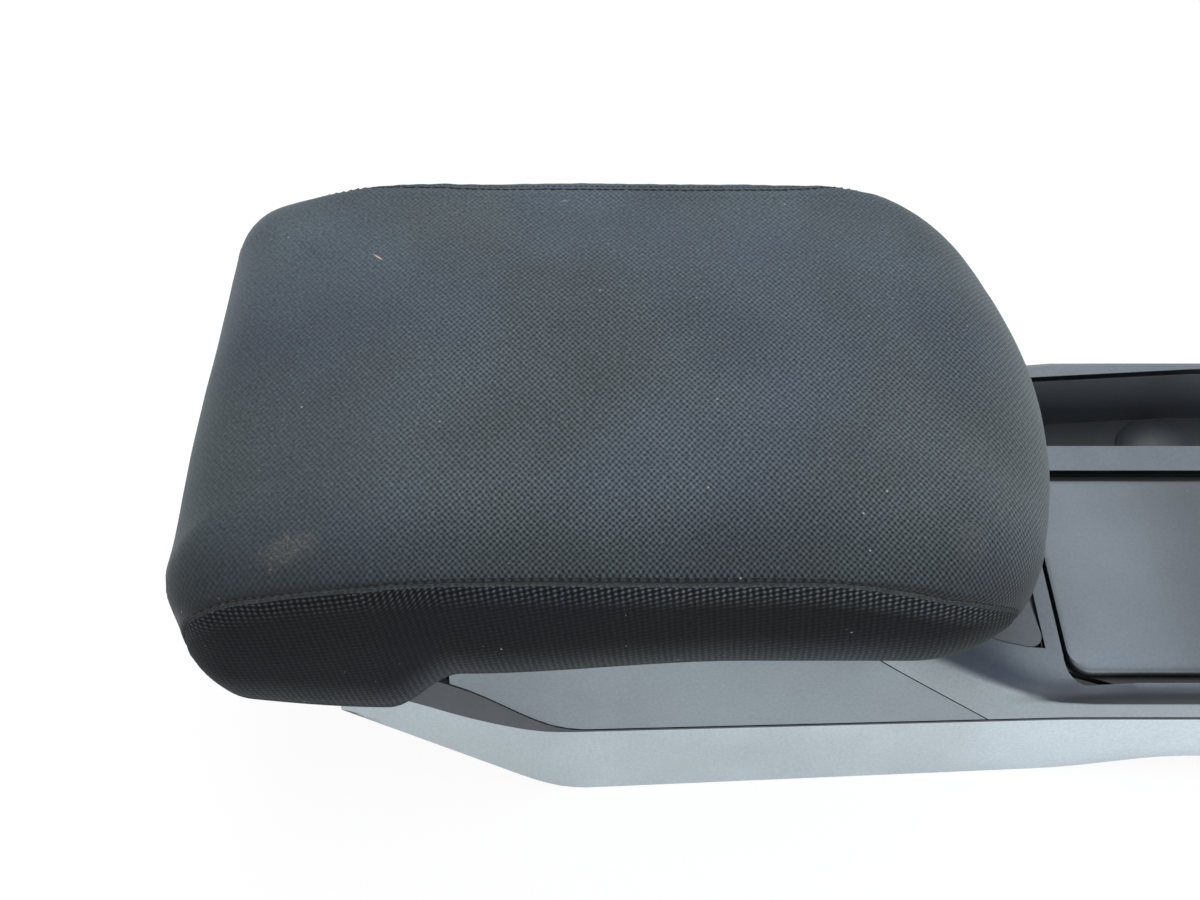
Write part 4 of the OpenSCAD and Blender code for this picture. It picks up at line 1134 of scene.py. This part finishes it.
top_cloth = cloth(
    "armrest_cloth", (0.086, 0.107, 0.127), (0.020, 0.023, 0.027), sheen=0.22, crests=0.55, on_top=True
)
side_cloth = cloth(
    "armrest_side_cloth", (0.060, 0.069, 0.079), (0.0092, 0.0094, 0.0118), sheen=0.03, shine=0.1,
    holes=1.2, crests=2.0, turn=0.62, coarse=1.3,
)
# Lighter copy of the cloth for the folded edge below the seam: painted highlight
fold_highlight = cloth(
    "armrest_fold_highlight", (0.125, 0.135, 0.147), (0.085, 0.092, 0.100), shine=0.15, holes=0.3
)


def spun_thread():
    """Nearly black sewing thread."""
    s = Shader("armrest_thread", 0.8)
    here = s.coords("Object")
    colour = s.scaled((0.014, 0.015, 0.018), s.uneven(here, scale=900, detail=2, spread=0.4))
    return s.finish(colour, None, s.bump(s.noise(here, scale=4000, detail=2), 0.05 * MM))


FINISHES = {
    "front_trim": deck, "side_panel_left": side, "side_panel_right": side,
    "sill_left": sill, "sill_right": sill,
    "rear_cover": dark, "carrier": dark, "rear_bracket": zinc, "front_bracket": zinc, "bracket_screws": steel,
    "bin_rim": rim, "bin_liner": dark, "bin_mat": rubber, "bump_stops": rubber, "striker": steel,
    "cup_insert": dark, "cup_mats": rubber, "cup_lid": lid, "lid_pin": steel, "latch_housing": dark,
    "latch_plunger": dark, "plunger_spring": steel, "handbrake_well": hollow, "hinge_bracket": black_steel,
    "hinge_pin": steel, "hinge_bolts": zinc, "armrest_spring": steel, "armrest_frame": black_steel,
    "armrest_board": board, "armrest_tray": dark, "board_screws": zinc, "latch_lever": dark,
    "latch_pin": steel, "latch_spring": steel,
}
# Width of the broken edges of the moulded and folded parts, in millimetres, and of all others
SOFT_EDGES = {
    "front_trim": 0.6, "side_panel_left": 0.5, "side_panel_right": 0.5, "sill_left": 0.5, "sill_right": 0.5,
    "bin_rim": 0.6, "cup_insert": 0.5, "handbrake_well": 0.6, "rear_cover": 0.5, "armrest_tray": 0.4,
    "latch_lever": 0.4, "carrier": 0.4, "bin_liner": 0.4, "latch_housing": 0.3, "hinge_bracket": 0.3,
    "rear_bracket": 0.3, "front_bracket": 0.3, "armrest_frame": 0.3,
}
SMALL_EDGE = 0.15

for name, part in nodes.items():
    if name in FINISHES:
        dress(part, FINISHES[name], SOFT_EDGES.get(name, SMALL_EDGE))
build_cushion([top_cloth, side_cloth, fold_highlight], spun_thread())
build_lip("insert_lip_right", -1, dark)
build_lip("insert_lip_left", 1, dark)


def seen_rays(tree):
    """1 for rays that show a background: straight from the camera, mirrored or let through."""
    path = tree.nodes.new("ShaderNodeLightPath")
    total = path.outputs["Is Camera Ray"]
    for ray in ("Is Glossy Ray", "Is Transmission Ray"):
        largest = tree.nodes.new("ShaderNodeMath")
        largest.operation = "MAXIMUM"
        tree.links.new(total, largest.inputs[0])
        tree.links.new(path.outputs[ray], largest.inputs[1])
        total = largest.outputs[0]
    return total


def put_out(tree, lighting, shown, output):
    """Gives shown to the rays that show a background, and lighting to all others."""
    pick = tree.nodes.new("ShaderNodeMixShader")
    tree.links.new(seen_rays(tree), pick.inputs[0])
    tree.links.new(lighting.outputs[0], pick.inputs[1])
    tree.links.new(shown.outputs[0], pick.inputs[2])
    out = tree.nodes.new(output)
    tree.links.new(pick.outputs[0], out.inputs[0])


def coloured(tree, kind, colour):
    made = tree.nodes.new("ShaderNode" + kind)
    made.inputs["Color"].default_value = (*colour, 1)
    return made


# Floor
FLOOR_REACH = 4.0
FLOOR_Z = -0.3 * MM


def floor_paper():
    """White paper that keeps the console's shadow."""
    paper = bpy.data.materials.new("floor_paper")
    paper.use_nodes = True
    tree = paper.node_tree
    tree.nodes.clear()
    plain = coloured(tree, "BsdfDiffuse", (0.75, 0.77, 0.79))
    shadowed = coloured(tree, "BsdfDiffuse", (0.11, 0.11, 0.11))
    glow = coloured(tree, "Emission", (0.93, 0.93, 0.93))
    both = tree.nodes.new("ShaderNodeAddShader")
    tree.links.new(shadowed.outputs[0], both.inputs[0])
    tree.links.new(glow.outputs[0], both.inputs[1])
    put_out(tree, plain, both, "ShaderNodeOutputMaterial")
    return paper


scene = bpy.context.scene
scene.view_settings.view_transform = "Standard"
floor_mesh = bpy.data.meshes.new("floor")
floor_mesh.from_pydata(
    [(x * FLOOR_REACH, y * FLOOR_REACH, FLOOR_Z) for x, y in ((-1, -1), (1, -1), (1, 1), (-1, 1))],
    [], [(0, 1, 2, 3)],
)
floor_mesh.materials.append(floor_paper())
floor = bpy.data.objects.new("floor", floor_mesh)
scene.collection.objects.link(floor)

# White surroundings that light the console softly
world = bpy.data.worlds.new("studio")
scene.world = world
world.use_nodes = True
world.node_tree.nodes.clear()
fill = coloured(world.node_tree, "Background", (0.94, 0.97, 1.0))
fill.inputs["Strength"].default_value = 0.35
white = coloured(world.node_tree, "Background", (1.0, 1.0, 1.0))
put_out(world.node_tree, fill, white, "ShaderNodeOutputWorld")


# Place in the console's middle that the lamps face
LIT_PLACE = Vector((0, 0, 0.1))


def lamp(name, place, size, level):
    """A square softbox facing the console, lighting it to about level."""
    data = bpy.data.lights.new(name, "AREA")
    data.shape = "SQUARE"
    data.size = size
    made = bpy.data.objects.new(name, data)
    made.location = place
    aim = LIT_PLACE - made.location
    made.rotation_euler = aim.to_track_quat("-Z", "Y").to_euler()
    data.energy = level * math.pi**2 * aim.length_squared
    scene.collection.objects.link(made)


lamp("top_softbox", (0.0, 0.25, 1.8), 1.5, 0.42)
lamp("back_softbox", (0.0, 1.3, 1.5), 1.3, 0.32)
lamp("front_softbox", (0.45, -1.9, 0.55), 1.2, 0.45)

# Camera, fitted to the armrest's outline in the photo
camera = bpy.data.objects.new("camera", bpy.data.cameras.new("camera"))
camera.location = (-0.150, -0.3401, 0.5268)
camera.rotation_euler = Euler((math.radians(38.66), 0, 0))
camera.data.lens = 42
camera.data.sensor_width = 36
camera.data.clip_start = 0.01
camera.data.clip_end = 50
scene.collection.objects.link(camera)
scene.camera = camera
